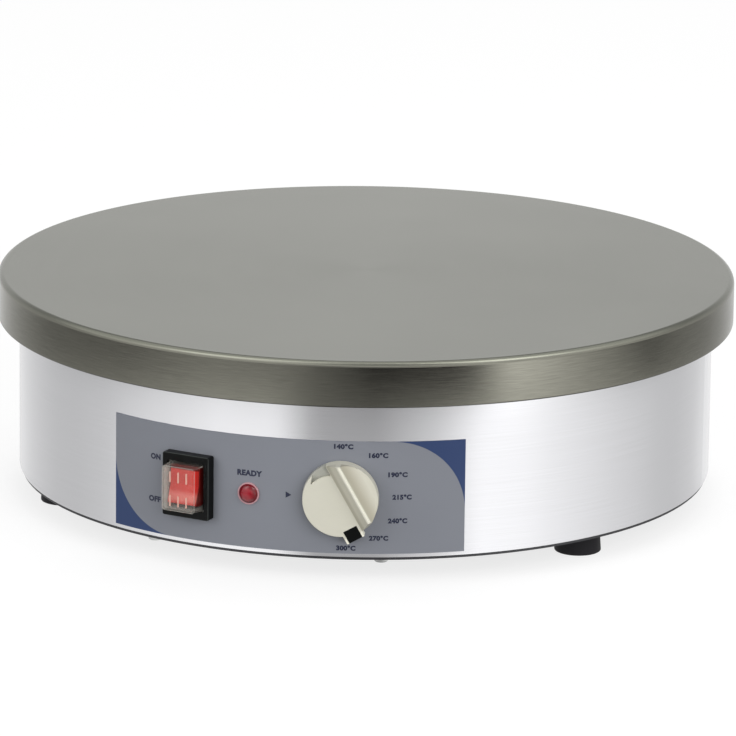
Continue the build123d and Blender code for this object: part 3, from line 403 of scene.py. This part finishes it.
class Finish(Nodes):
    """A material, with the places and patterns that its colour, gloss and relief are made from."""

    def __init__(self, name, sockets):
        self.material = bpy.data.materials.new(name)
        self.material.use_nodes = True
        super().__init__(self.material.node_tree)
        self.shader = self.tree.nodes["Principled BSDF"]
        self.place = self.node("ShaderNodeTexCoord", output="Object")
        self.x, self.y, self.z = self.axes(self.place)
        self.radius = self.length(self.x, self.y)
        self.set(sockets)

    def set(self, sockets):
        for name, value in sockets.items():
            self.feed(self.shader.inputs[name], value)

    def clouds(self, size, detail=2.0):
        return self.noise(size, self.place, detail)

    def streaks(self, along, across):
        """Noise drawn out round the plate's axis, on level faces and on upright ones."""
        values = {"X": self.x / along, "Y": self.y / along, "Z": (self.radius - self.z) / across}
        place = self.node("ShaderNodeCombineXYZ", values=values)
        return self.noise(size=1.0, vector=place, detail=3.0)

    def from_control(self, way, height):
        """Places as a control has them: to its right, above its middle, and out from the shell."""
        across = self.y * way.x - self.x * way.y
        return across, self.z - height, self.x * way.x + self.y * way.y - shell_radius

    def from_node(self, node):
        """The same for a control that is one node."""
        return self.from_control(outward_of(node), middle_of(node).z)

    def largest(self, *values):
        top = values[0]
        for value in values[1:]:
            top = self.maths("MAXIMUM", top, value)
        return top

    def box_edges(self, across, above, stand, size, width):
        """1 along a box's edges: size is half its width and height, and how far it stands out."""
        beside, above = self.maths("ABSOLUTE", across), self.maths("ABSOLUTE", above)
        places = (beside, above, stand)
        side, end, front = [self.ease(p, reach - width, reach) for p, reach in zip(places, size)]
        edges = self.largest(side * end, side * front, end * front)
        return edges * self.ease(self.largest(beside, above), size[1] + 2 * width, size[1] + width)

    def relief(self, height, distance):
        """Gives the surface a relief of height times distance metres."""
        values = {"Height": height, "Distance": distance, "Strength": 1.0}
        self.set({"Normal": self.node("ShaderNodeBump", values=values)})


# ---- Materials -----------------------------------------------------------------------------------


def cast_plate():
    """Machined cast iron: smooth grey on top, brushed and browner round it, raw in its skirt."""
    finish = Finish("cast_plate", {"Anisotropic": 0.2})
    top = finish.ease(finish.z, plate_top - 3.0 * mm, plate_top - 0.6 * mm)
    inside = finish.ease(finish.radius, plate_radius - 6 * mm, plate_radius - 8 * mm)
    inside = inside * finish.ease(finish.z, plate_top - 12 * mm, plate_top - 13 * mm)
    # Painted shade: the rim's lowest millimetre is darkened, for the shadow line where the rim meets the shell.
    foot = finish.ease(finish.z, rim_bottom + 1.1 * mm, rim_bottom + 0.5 * mm) * (1 - inside)
    turning = finish.streaks(30 * mm, 0.5 * mm)
    brushing = finish.streaks(11 * mm, 0.3 * mm)
    seasoning = finish.clouds(85 * mm, 3.0)
    specks = finish.clouds(1.4 * mm, 3.0)
    grain = finish.clouds(0.9 * mm, 4.0)
    top_colour = finish.mix(seasoning, display(103, 104, 94), display(117, 118, 108))
    top_colour = finish.mix(0.12 * turning + 0.1 * specks, top_colour, display(137, 137, 128))
    rim_colour = finish.mix(brushing, display(118, 117, 108), display(152, 151, 140))
    colour = finish.mix(top, rim_colour, top_colour)
    # The rim's foot gets its painted shade here.
    colour = finish.mix(0.7 * foot, colour, display(30, 30, 30))
    colour = finish.mix(inside, colour, display(62, 60, 57))
    gloss = 0.2 + 0.06 * turning + (0.05 * brushing - 0.07) * (1 - top) + 0.3 * inside
    finish.set({"Base Color": colour, "Roughness": gloss, "Metallic": 1 - 0.08 * top})
    relief = brushing * (1 - top) * (1 - inside) + 0.15 * turning * top + 8 * grain * inside
    finish.relief(relief, 0.008 * mm)
    return finish.material


def stainless_shell():
    """Brushed stainless sheet, with brush marks that run round the body and a weld behind."""
    finish = Finish("stainless_shell", {"Metallic": 1.0, "Anisotropic": 0.1})
    lines = finish.streaks(60 * mm, 0.3 * mm)
    cloud = finish.clouds(90 * mm)
    way = outward_of("gland_body")
    beside_gland = finish.x * way.y - finish.y * way.x
    from_seam = finish.maths("ABSOLUTE", beside_gland - seam_from_gland)
    seam = (1 - finish.ease(from_seam, 0.6 * mm, 2.2 * mm)) * finish.ease(finish.y, 0.0, 50 * mm)
    colour = finish.mix(lines, display(222, 222, 224), display(233, 233, 236))
    colour = finish.mix(0.5 * seam, colour, display(186, 182, 176))
    gloss = 0.12 + 0.04 * lines + 0.04 * cloud + 0.14 * seam
    finish.set({"Base Color": colour, "Roughness": gloss})
    finish.relief(lines + 2 * seam, 0.002 * mm)
    return finish.material


def panel_print():
    """The overlay's satin print: grey, with a blue corner at the lower left and the upper right."""
    finish = Finish("panel_print", {"Specular IOR Level": 0.3})
    across = finish.maths("ARCTAN2", finish.x, 0 - finish.y) * overlay_radius
    from_middle = finish.z - (overlay_low.z + overlay_high.z) / 2
    side = panel_half_width - corner_arc
    rise = (overlay_high.z - overlay_low.z) / 2 - corner_arc
    blue = 0.0
    for way in (-1, 1):
        past_side = finish.maths("MAXIMUM", way * across - side, 0.0)
        past_level = finish.maths("MAXIMUM", way * from_middle - rise, 0.0)
        reach = finish.length(past_side, past_level)
        blue = blue + finish.ease(reach, corner_arc - print_blur, corner_arc + print_blur)
    weave = finish.clouds(0.5 * mm, 3.0)
    cloud = finish.clouds(40 * mm)
    grey = finish.mix(cloud, display(133, 136, 144), display(139, 142, 150))
    navy = finish.mix(cloud, display(48, 66, 107), display(54, 71, 111))
    finish.set({"Base Color": finish.mix(blue, grey, navy), "Roughness": 0.38 + 0.08 * weave})
    finish.relief(weave, 0.01 * mm)
    return finish.material


def panel_ink():
    finish = Finish("panel_ink", {"Roughness": 0.5})
    speckle = finish.clouds(0.2 * mm)
    finish.set({"Base Color": finish.mix(speckle, display(22, 26, 48), display(36, 41, 66))})
    return finish.material


def moulded(name, colour, roughness, grain=0.25 * mm, relief=0.01 * mm):
    """Moulded plastic: an even colour with faint clouds, under a fine grain."""
    finish = Finish(name, {"Specular IOR Level": 0.45})
    skin = finish.clouds(grain, 3.0)
    cloud = finish.clouds(15 * mm)
    finish.set({
        "Base Color": finish.mix(cloud, shade(colour, 0.94), colour),
        "Roughness": roughness + 0.1 * (skin - 0.5),
    })
    finish.relief(skin, relief)
    return finish.material


def foot_rubber():
    """Black rubber, scuffed grey where it stands."""
    finish = Finish("foot_rubber", {"Specular IOR Level": 0.2})
    skin = finish.clouds(0.5 * mm, 3.0)
    scuff = finish.ease(finish.z, 1.2 * mm, 0.0) * finish.clouds(2 * mm, 4.0)
    colour = finish.mix(skin, display(26, 25, 28), display(34, 33, 36))
    colour = finish.mix(scuff, colour, display(70, 68, 66))
    finish.set({"Base Color": colour, "Roughness": 0.55 + 0.1 * skin})
    finish.relief(skin, 0.03 * mm)
    return finish.material


def plated(name, colour, roughness, variation=0.1, grain=3 * mm):
    """Metal with clouds in its colour and gloss, as plating, drawing or heat leave them."""
    finish = Finish(name, {"Metallic": 1.0})
    cloud = finish.clouds(grain, 4.0)
    fine = finish.clouds(grain / 12)
    finish.set({
        "Base Color": finish.mix(cloud, shade(colour, 1 - variation), colour),
        "Roughness": roughness + 0.12 * cloud,
    })
    finish.relief(fine, 0.004 * mm)
    return finish.material


def mineral_wool():
    """Pressed fibre: clumps of short threads."""
    finish = Finish("mineral_wool", {"Specular IOR Level": 0.2, "Roughness": 0.95})
    colour = display(214, 205, 168)
    clump = finish.clouds(4 * mm, 6.0)
    finish.set({"Base Color": finish.mix(clump, shade(colour, 0.6), colour)})
    finish.relief(clump, 0.6 * mm)
    return finish.material


def black_plastic():
    """Black moulding, with a painted highlight in pale grey along the outer edges of the switch's frame."""
    finish = Finish("black_plastic", {"Specular IOR Level": 0.12})
    skin = finish.clouds(0.3 * mm, 3.0)
    cloud = finish.clouds(15 * mm)
    # Painted highlight: pale grey along the outer edges of the switch's frame.
    painted_edge_highlight = finish.box_edges(*finish.from_node("switch_bezel"), bezel_reach, 0.45 * mm)
    colour = finish.mix(cloud, display(6, 8, 7), display(11, 12, 12))
    finish.set({
        "Base Color": finish.mix(0.3 * painted_edge_highlight, colour, display(120, 126, 124)),
        "Roughness": 0.36 + 0.1 * (skin - 0.5),
    })
    finish.relief(skin, 0.008 * mm)
    return finish.material


def knob_plastic():
    """Ivory plastic, with a painted highlight along its crest, paler on its tab, and painted shade in its notch
    and on its grip's flank, groove and scoop.
    """
    finish = Finish("knob_plastic", {"Specular IOR Level": 0.45})
    skin = finish.clouds(0.25 * mm, 3.0)
    cloud = finish.clouds(12 * mm)
    across, above, stand = finish.from_control(Vector(knob_axis), knob_height)
    turn = radians(knob_turn)
    beside = across * cos(turn) + above * sin(turn)
    along = above * cos(turn) - across * sin(turn)
    raised = finish.ease(stand, knob_face + 0.1 * mm, knob_face + 0.5 * mm)
    # Painted shade on the grip's flank, in the groove at its foot, and on the scoop beside the crest.
    flank = raised * finish.ease(beside, crest_start, crest_start - 0.6 * mm)
    groove = flank * finish.ease(beside, crest_start - 2.6 * mm, crest_start - 4.6 * mm)
    scoop = raised * finish.ease(beside, crest_end, crest_end + 0.6 * mm)
    scoop = scoop * finish.ease(beside, crest_end + 9 * mm, crest_end + 1 * mm)
    # Painted highlight along the grip's crest.
    crest = finish.ease(stand, knob_crest - 0.25 * mm, knob_crest - 0.05 * mm)
    crest = crest * finish.ease(beside, crest_start + 0.2 * mm, crest_start + 1 * mm)
    # Painted shade on the floor of the notch.
    notch = finish.ease(stand, knob_face - 1.2 * mm, knob_face - 2.2 * mm)
    notch = notch * finish.ease(along, 12 * mm, 13 * mm) * finish.ease(beside, 2.6 * mm, 2.0 * mm)
    tab = finish.ease(along, -19.2 * mm, -20.2 * mm)
    colour = finish.mix(cloud, display(219, 217, 201), display(225, 222, 207))
    # The flank, groove, scoop and notch colours are painted shade; the crest's near-white is a painted highlight,
    # which the tab shares.
    colour = finish.mix(0.4 * flank, colour, display(184, 181, 162))
    colour = finish.mix(0.6 * groove, colour, display(166, 162, 142))
    colour = finish.mix(scoop, colour, display(186, 181, 162))
    colour = finish.mix(0.8 * notch, colour, display(164, 165, 158))
    colour = finish.mix(finish.largest(crest, 0.8 * tab), colour, display(252, 249, 232))
    finish.set({"Base Color": colour, "Roughness": 0.4 - 0.12 * crest + 0.1 * (skin - 0.5)})
    finish.relief(skin, 0.006 * mm)
    return finish.material


def clear_cover():
    """Clear soft plastic, with painted highlights along its edges, a painted grey sheen on its left side, lower
    part, roof and front, and pale, nearly opaque ribs.
    """
    finish = Finish("clear_cover", {"Roughness": 0.12, "Specular IOR Level": 0.5, "IOR": 1.45})
    across, above, stand = finish.from_node("switch_bezel")
    side, end, front = cover_reach
    # Painted highlight: pale, less clear lines along the cover's edges.
    edge = finish.box_edges(across, above, stand, cover_reach, 0.8 * mm)
    rib = finish.ease(stand, front + 0.2 * mm, front + 0.3 * mm)
    # Painted sheen: grey on the left wall and side, the lower part, the roof and faintly the front, for the
    # reflections in the clear walls.
    wall = finish.ease(across, -side + 1.4 * mm, -side + 0.6 * mm)
    left = finish.ease(across, -4.5 * mm, -8.5 * mm)
    lower = finish.ease(above, -8 * mm, -11 * mm)
    roof = finish.ease(above, end - 0.8 * mm, end - 0.2 * mm)
    face = finish.ease(across, side - 0.5 * mm, side - 1.5 * mm)
    face = face * finish.ease(stand, front - 1.0 * mm, front - 0.5 * mm)
    painted_sheen_area = 0.2 * face + 0.5 * finish.largest(left, 0.5 * lower, 0.4 * roof)
    painted_sheen = (0.35 + 0.3 * finish.clouds(5 * mm)) * painted_sheen_area
    alpha = finish.largest(painted_sheen, 0.32 * wall, 0.45 * edge, 0.8 * rib)
    # The grey colour is the painted sheen's, and the pale colour along the edges below is a painted highlight.
    colour = finish.mix(rib, display(208, 205, 196), display(242, 192, 176))
    colour = finish.mix(edge * (1 - rib), colour, display(232, 228, 218))
    finish.set({"Base Color": colour, "Alpha": alpha})
    return finish.material


def red_rocker():
    """Red plastic with a faint glow, a painted pale band of light on its lower part, and painted shade at its top
    and right side, where the glow is dimmed too.
    """
    sockets = {"Roughness": 0.42, "Specular IOR Level": 0.12, "Emission Strength": 0.12}
    finish = Finish("red_rocker", sockets)
    cloud = finish.clouds(5 * mm)
    across, above, _ = finish.from_node("switch_bezel")
    # Painted light: a pale band across the rocker's lower part.
    painted_light_band = finish.ease(above, -1.5 * mm, -5 * mm) * finish.ease(above, -9 * mm, -6.5 * mm)
    # Painted shade: the right side, darkest at its edge, and the top end, where the glow is dimmed too.
    side = 0.3 + 0.6 * finish.ease(across, 7.6 * mm, 8.6 * mm)
    side = side * finish.ease(across, 6.0 * mm, 6.8 * mm)
    painted_shade = finish.largest(side, 0.9 * finish.ease(above, 8.4 * mm, 9.4 * mm))
    colour = finish.mix(cloud, display(196, 40, 35), display(212, 54, 46))
    colour = finish.mix(0.6 * painted_light_band, colour, display(232, 152, 140))
    finish.set({
        "Base Color": finish.mix(painted_shade, colour, display(52, 10, 10)),
        "Emission Color": finish.mix(painted_shade, display(226, 52, 46), display(30, 2, 2)),
    })
    finish.relief(finish.clouds(0.3 * mm), 0.01 * mm)
    return finish.material


def red_lens():
    """Red moulded lens, with painted shade that darkens it towards its rim."""
    finish = Finish("red_lens", {"Roughness": 0.14, "Specular IOR Level": 0.5})
    cloud = finish.clouds(1.6 * mm)
    across, above, _ = finish.from_node("pilot_lamp_lens")
    # Painted shade: the dome darkens towards its rim, where it curves away.
    rim = finish.ease(finish.length(across, above), 2.6 * mm, 4.4 * mm)
    colour = finish.mix(cloud, display(140, 16, 32), display(168, 24, 42))
    finish.set({"Base Color": finish.mix(0.7 * rim, colour, display(96, 6, 18))})
    return finish.material


def neon_glass():
    finish = Finish("neon_glass", {"Roughness": 0.08, "Alpha": 0.45})
    cloud = finish.clouds(2 * mm)
    finish.set({"Base Color": finish.mix(cloud, display(240, 190, 160), display(250, 225, 205))})
    return finish.material


def finishes():
    """One material for each material slot of the record."""
    return {
        "cast_plate": cast_plate(),
        "stainless_shell": stainless_shell(),
        "panel_print": panel_print(),
        "dark_base": moulded(
            "dark_base", display(52, 52, 55), 0.45, grain=0.8 * mm, relief=0.03 * mm
        ),
        "foot_rubber": foot_rubber(),
        "knob_plastic": knob_plastic(),
        "black_plastic": black_plastic(),
        "red_rocker": red_rocker(),
        "clear_cover": clear_cover(),
        "red_lens": red_lens(),
        "lamp_ring": moulded("lamp_ring", display(206, 160, 166), 0.5),
        "zinc_steel": plated("zinc_steel", display(200, 201, 200), 0.28),
        "galvanised_sheet": plated(
            "galvanised_sheet", display(190, 193, 196), 0.4, variation=0.25, grain=9 * mm
        ),
        "element_sheath": plated(
            "element_sheath", display(112, 104, 96), 0.45, variation=0.4, grain=12 * mm
        ),
        "ceramic_white": moulded("ceramic_white", display(236, 231, 218), 0.6, relief=0.02 * mm),
        "mineral_wool": mineral_wool(),
        "copper_tube": plated("copper_tube", display(206, 142, 106), 0.3),
        "brass_metal": plated("brass_metal", display(214, 184, 116), 0.25),
        "bakelite": moulded("bakelite", display(48, 38, 33), 0.38),
        "white_nylon": moulded("white_nylon", display(228, 227, 220), 0.45),
        "neon_glass": neon_glass(),
        "reset_red": moulded("reset_red", display(196, 36, 32), 0.35),
        "gland_nylon": moulded("gland_nylon", display(32, 32, 34), 0.5, relief=0.02 * mm),
        "wire_insulation": moulded("wire_insulation", display(196, 78, 54), 0.5),
    }


def finish_nodes():
    """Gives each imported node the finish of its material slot."""
    materials = finishes()
    for part in frame["record"]["subparts"]:
        node = frame["nodes"][part["node"]]
        for slot in node.material_slots:
            slot.material = materials[part["material_slot"]]


# ---- Turned pieces and the spring ----------------------------------------------------------------


def arc(radius, height, size, start, end):
    """Radii and heights along a rounded edge, about its middle, between two angles in degrees."""
    turn = (end - start) / round_steps
    angles = [radians(start + turn * step) for step in range(round_steps + 1)]
    return [(radius + size * cos(a), height + size * sin(a)) for a in angles]


def select_only(piece):
    bpy.ops.object.select_all(action="DESELECT")
    bpy.context.view_layer.objects.active = piece
    piece.select_set(True)


def joined(pieces):
    """Several pieces as one, which is the first of them."""
    select_only(pieces[0])
    for piece in pieces[1:]:
        piece.select_set(True)
    bpy.ops.object.join()
    return pieces[0]


def apply_modifier(piece, kind, **settings):
    """Changes the mesh of the active piece with a modifier."""
    bpy.ops.object.modifier_add(type=kind)
    modifier = piece.modifiers[-1]
    for name, value in settings.items():
        setattr(modifier, name, value)
    bpy.ops.object.modifier_apply(modifier=modifier.name)


def paint(piece, material):
    piece.data.materials.clear()
    piece.data.materials.append(material)


def material_of(node):
    """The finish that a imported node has."""
    return frame["nodes"][node].material_slots[0].material


def spun(name, outline):
    """A piece turned about the plate's axis from a line of radii and heights."""
    mesh = bpy.data.meshes.new(name)
    points = [(radius, 0, height) for radius, height in outline]
    mesh.from_pydata(points, [(n, n + 1) for n in range(len(points) - 1)], [])
    piece = link(bpy.data.objects.new(name, mesh))
    select_only(piece)
    bpy.ops.object.mode_set(mode="EDIT")
    bpy.ops.mesh.select_all(action="SELECT")
    bpy.ops.mesh.spin(steps=turn_steps, angle=2 * pi, center=(0, 0, 0), axis=(0, 0, 1))
    bpy.ops.mesh.select_all(action="SELECT")
    bpy.ops.mesh.remove_doubles(threshold=merge_distance)
    bpy.ops.mesh.normals_make_consistent(inside=False)
    bpy.ops.object.mode_set(mode="OBJECT")
    return piece


def smoothed(piece):
    """Smooths the rounded edges, and leaves the flat faces beside them flat."""
    select_only(piece)
    bpy.ops.object.shade_smooth_by_angle(angle=smooth_angle)
    apply_modifier(piece, "WEIGHTED_NORMAL", keep_sharp=True)


def plate_boss(azimuth):
    """A boss under the plate, sunk into it at its top."""
    height = plate_underside - boss_bottom
    place = plate_stud_radius * towards(azimuth, 0)
    place.z = boss_bottom + height / 2 + boss_sink
    bpy.ops.mesh.primitive_cylinder_add(
        vertices=boss_sides, radius=boss_radius, depth=height + 2 * boss_sink, location=place
    )
    bpy.ops.object.transform_apply(location=True)
    boss = bpy.context.object
    apply_modifier(boss, "BEVEL", width=boss_round, segments=boss_round_steps)
    return boss


def turned_plate():
    """The cast plate: its rounded edge, its hollow underside and the bosses for its studs."""
    edge, foot = plate_edge_round, rim_foot_round
    inner = plate_radius - skirt_wall
    outline = [(0, plate_top)]
    outline += arc(plate_radius - edge, plate_top - edge, edge, 90, 0)
    outline += arc(plate_radius - foot, rim_bottom + foot, foot, 0, -90)
    outline += [(inner, rim_bottom)]
    outline += arc(inner - casting_round, plate_underside - casting_round, casting_round, 0, 90)
    outline += [(0, plate_underside)]
    plate = spun("turned_plate", outline)
    plate = joined([plate, *[plate_boss(azimuth) for azimuth in plate_stud_azimuths]])
    smoothed(plate)
    paint(plate, material_of("cooking_plate"))
    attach(plate, "base")
    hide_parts("cooking_plate")


def shell_lip():
    """The shell's lower bend, turned smoothly over its sheet."""
    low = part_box("body_shell")[0].z
    bend = shell_bend_radius
    outside = arc(shell_radius - bend, low + bend, bend + lip_cover, 0, -90)
    inside = arc(shell_radius - bend, low + bend, bend - lip_sheet, -90, 0)
    top = low + bend + lip_rise
    outline = [(outside[0][0], top), *outside, *inside, (inside[-1][0], top)]
    lip = spun("shell_lip", [*outline, outline[0]])
    smoothed(lip)
    paint(lip, material_of("body_shell"))
    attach(lip, "base")


def coil_spring():
    """The reset button's spring, a smoothed copy of its solid."""
    solid = frame["nodes"]["reset_spring"].data
    spring = link(bpy.data.objects.new("coil_spring", solid.copy()))
    select_only(spring)
    bpy.ops.object.mode_set(mode="EDIT")
    bpy.ops.mesh.select_all(action="SELECT")
    bpy.ops.mesh.remove_doubles(threshold=merge_distance)
    bpy.ops.object.mode_set(mode="OBJECT")
    smoothed(spring)
    paint(spring, material_of("reset_spring"))
    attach(spring, "base")
    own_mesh(spring)
    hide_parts("reset_spring")


# ---- Print on the panel --------------------------------------------------------------------------


def panel_point(across, height, lift):
    """A point on the overlay: across is measured along its face to the right of its middle."""
    radius = overlay_radius + lift
    angle = across / overlay_radius
    return Vector((radius * sin(angle), -radius * cos(angle), height))


def across_of(way):
    """How far along the overlay a level direction meets it."""
    azimuth = degrees(atan2(way[1], way[0]))
    return radians(azimuth + 90) * overlay_radius


def printed_words(text, across, height, letter_height, width):
    """Words laid on the panel as a thin coat of ink, centred at a place."""
    bpy.ops.object.text_add()
    words = bpy.context.object
    words.data.body = text
    # Any depth will do: the front and the back are then laid at the height of the ink
    words.data.extrude = 0.5
    words.data.offset = boldness
    words.data.space_character = letter_spacing
    words.data.resolution_u = curve_steps
    bpy.ops.object.convert(target="MESH")
    corners = [v.co for v in words.data.vertices]
    low = Vector(min(c[i] for c in corners) for i in range(3))
    high = Vector(max(c[i] for c in corners) for i in range(3))
    middle = (low + high) / 2
    upright = letter_height / (high.y - low.y)
    sideways = width / (high.x - low.x)
    for vertex in words.data.vertices:
        point = vertex.co - middle
        lift = ink_height if point.z > 0 else -ink_height
        vertex.co = panel_point(across + point.x * sideways, height + point.y * upright, lift)
    return words


def arrow_mark(across, height, length, half_height):
    """A small printed triangle that points to the right."""
    corners = [(-length / 2, -half_height), (length / 2, 0), (-length / 2, half_height)]
    mesh = bpy.data.meshes.new("arrow_mark")
    lifts = (-ink_height, ink_height)
    points = [panel_point(across + x, height + y, lift) for lift in lifts for x, y in corners]
    mesh.from_pydata(points, [], [(2, 1, 0), (3, 4, 5), (0, 1, 4, 3), (1, 2, 5, 4), (2, 0, 3, 5)])
    return link(bpy.data.objects.new("arrow_mark", mesh))


def panel_lettering():
    """The temperatures round the knob, its mark, and the words beside the lamp and the switch."""
    knob_across = across_of(knob_axis)
    marks = []
    for text, (right, up) in temperature_labels.items():
        place = (knob_across + right * mm, knob_height + up * mm)
        marks.append(printed_words(text, *place, label_height, label_width))
    for text, (control, right, up, width) in panel_words.items():
        place = (across_of(outward_of(control)) + right * mm, knob_height + up * mm)
        marks.append(printed_words(text, *place, word_height, width * mm))
    right, up = arrow_place
    place = (knob_across + right * mm, knob_height + up * mm)
    marks.append(arrow_mark(*place, arrow_length, arrow_half_height))
    lettering = joined(marks)
    lettering.name = "panel_lettering"
    paint(lettering, panel_ink())
    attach(lettering, "base")


# ---- Camera, light and floor ---------------------------------------------------------------------


def turned(axis, angle):
    """A turn about an axis, by an angle in degrees."""
    return Matrix.Rotation(radians(angle), 4, axis)


def place_camera():
    """Looks at the plate from the front and a little to the right of the controls."""
    data = bpy.data.cameras.new("camera")
    data.lens = camera_lens
    data.sensor_width = camera_sensor
    camera = link(bpy.data.objects.new("camera", data))
    facing = turned("Z", camera_azimuth + 90) @ turned("X", 90 - camera_elevation)
    aim = turned("Y", -aim_right) @ turned("X", -aim_down)
    seat = Vector((0, 0, plate_top)) + camera_distance * towards(camera_azimuth, camera_elevation)
    camera.matrix_world = Matrix.Translation(seat) @ facing @ aim @ turned("Z", camera_roll)
    data.clip_end = camera_sight
    bpy.context.scene.camera = camera


def soft_lamp(name, azimuth, elevation, distance, size, level):
    """A square lamp. It would light a white card at the plate, turned to face it, to this level.

    Metal and gloss don't mirror it: they mirror the room.
    """
    data = bpy.data.lights.new(name, "AREA")
    data.size = size
    data.energy = level * pi**2 * distance**2
    lamp = link(bpy.data.objects.new(name, data))
    way = towards(camera_azimuth + azimuth, elevation)
    lamp.location = Vector((0, 0, lamp_aim)) + distance * way
    lamp.rotation_mode = "QUATERNION"
    lamp.rotation_quaternion = way.to_track_quat("Z", "Y")
    lamp.visible_glossy = False


class Studio(Nodes):
    """The nodes of the world or of the table, with what tells the kinds of ray apart."""

    def __init__(self, tree):
        super().__init__(tree)
        tree.nodes.clear()
        self.to_camera = self.node("ShaderNodeLightPath", output="Is Camera Ray")
        self.in_mirror = self.maths(
            "MAXIMUM",
            self.node("ShaderNodeLightPath", output="Is Glossy Ray"),
            self.node("ShaderNodeLightPath", output="Is Transmission Ray"),
        )

    def from_camera(self, x, y):
        """How far to the camera's side a place is, and its azimuth from the camera in degrees."""
        way = towards(camera_azimuth, 0)
        forward = x * way.x + y * way.y
        sideways = y * way.x - x * way.y
        return forward, self.maths("ARCTAN2", sideways, forward) * degrees(1)

    def glow(self, level, kind="ShaderNodeEmission"):
        return self.node(kind, values={"Color": (1, 1, 1, 1), "Strength": level})

    def finish_with(self, kind, shader):
        out = self.tree.nodes.new(kind)
        self.feed(out.inputs["Surface"], shader)


def light_studio():
    """A room that only gloss and mirrors see, with even light for the rest, and three lamps."""
    world = bpy.data.worlds.new("studio")
    bpy.context.scene.world = world
    world.use_nodes = True
    studio = Studio(world.node_tree)
    x, y, z = studio.axes(studio.node("ShaderNodeTexCoord", output="Generated"))
    forward, azimuth = studio.from_camera(x, y)
    over = studio.maths("ARCTAN2", z, 0 - forward) * degrees(1)
    low = studio.level(azimuth, room_levels)
    sides = studio.level(azimuth, ceiling_sides)
    sides = studio.blend(studio.ease(z, *ceiling_sides_fade), 1.0, sides)
    high = studio.level(over, ceiling_levels) * sides
    room = studio.blend(studio.ease(z, *ceiling_fade), low, high)
    mirrored, fill, white = [
        studio.glow(level, "ShaderNodeBackground") for level in (room, fill_level, backdrop_level)
    ]
    shown = studio.mix_shaders(studio.in_mirror, fill, mirrored)
    shown = studio.mix_shaders(studio.to_camera, shown, white)
    studio.finish_with("ShaderNodeOutputWorld", shown)
    for name, setting in lamps.items():
        soft_lamp(name, *setting)


def lay_floor():
    """A white table that takes the object's shadow, and can't be seen from below."""
    bpy.ops.mesh.primitive_plane_add(size=table_size)
    floor = bpy.context.object
    floor.name = "floor"
    material = bpy.data.materials.new("floor")
    material.use_nodes = True
    studio = Studio(material.node_tree)
    x, y, _ = studio.axes(studio.node("ShaderNodeTexCoord", output="Object"))
    forward, azimuth = studio.from_camera(x, y)
    away = studio.length(x, y)
    # An upright line on the shell mirrors a line on the table that swings round as it goes out
    swing = (2 - shell_radius / table_middle) * away / (2 * away - shell_radius)
    near = studio.level(azimuth * swing, near_table_levels)
    far = studio.level(azimuth, far_table_levels)
    reach = away - table_lean * forward / away
    beyond = studio.ease(reach, table_edge - table_fade, table_edge + table_fade)
    mirrored = studio.glow(studio.blend(beyond, near, far))
    matt = studio.node("ShaderNodeBsdfDiffuse", values={"Color": (table_grey,) * 3 + (1.0,)})
    white = studio.node("ShaderNodeAddShader", values={0: matt, 1: studio.glow(table_glow)})
    seen = studio.mix_shaders(studio.to_camera, matt, white)
    seen = studio.mix_shaders(studio.in_mirror, seen, mirrored)
    clear = studio.node("ShaderNodeBsdfTransparent")
    below = studio.node("ShaderNodeNewGeometry", output="Backfacing")
    studio.finish_with("ShaderNodeOutputMaterial", studio.mix_shaders(below, seen, clear))
    floor.data.materials.append(material)


place_camera()
bpy.context.scene.view_settings.view_transform = "Standard"
finish_nodes()
turned_plate()
shell_lip()
coil_spring()
panel_lettering()
light_studio()
lay_floor()
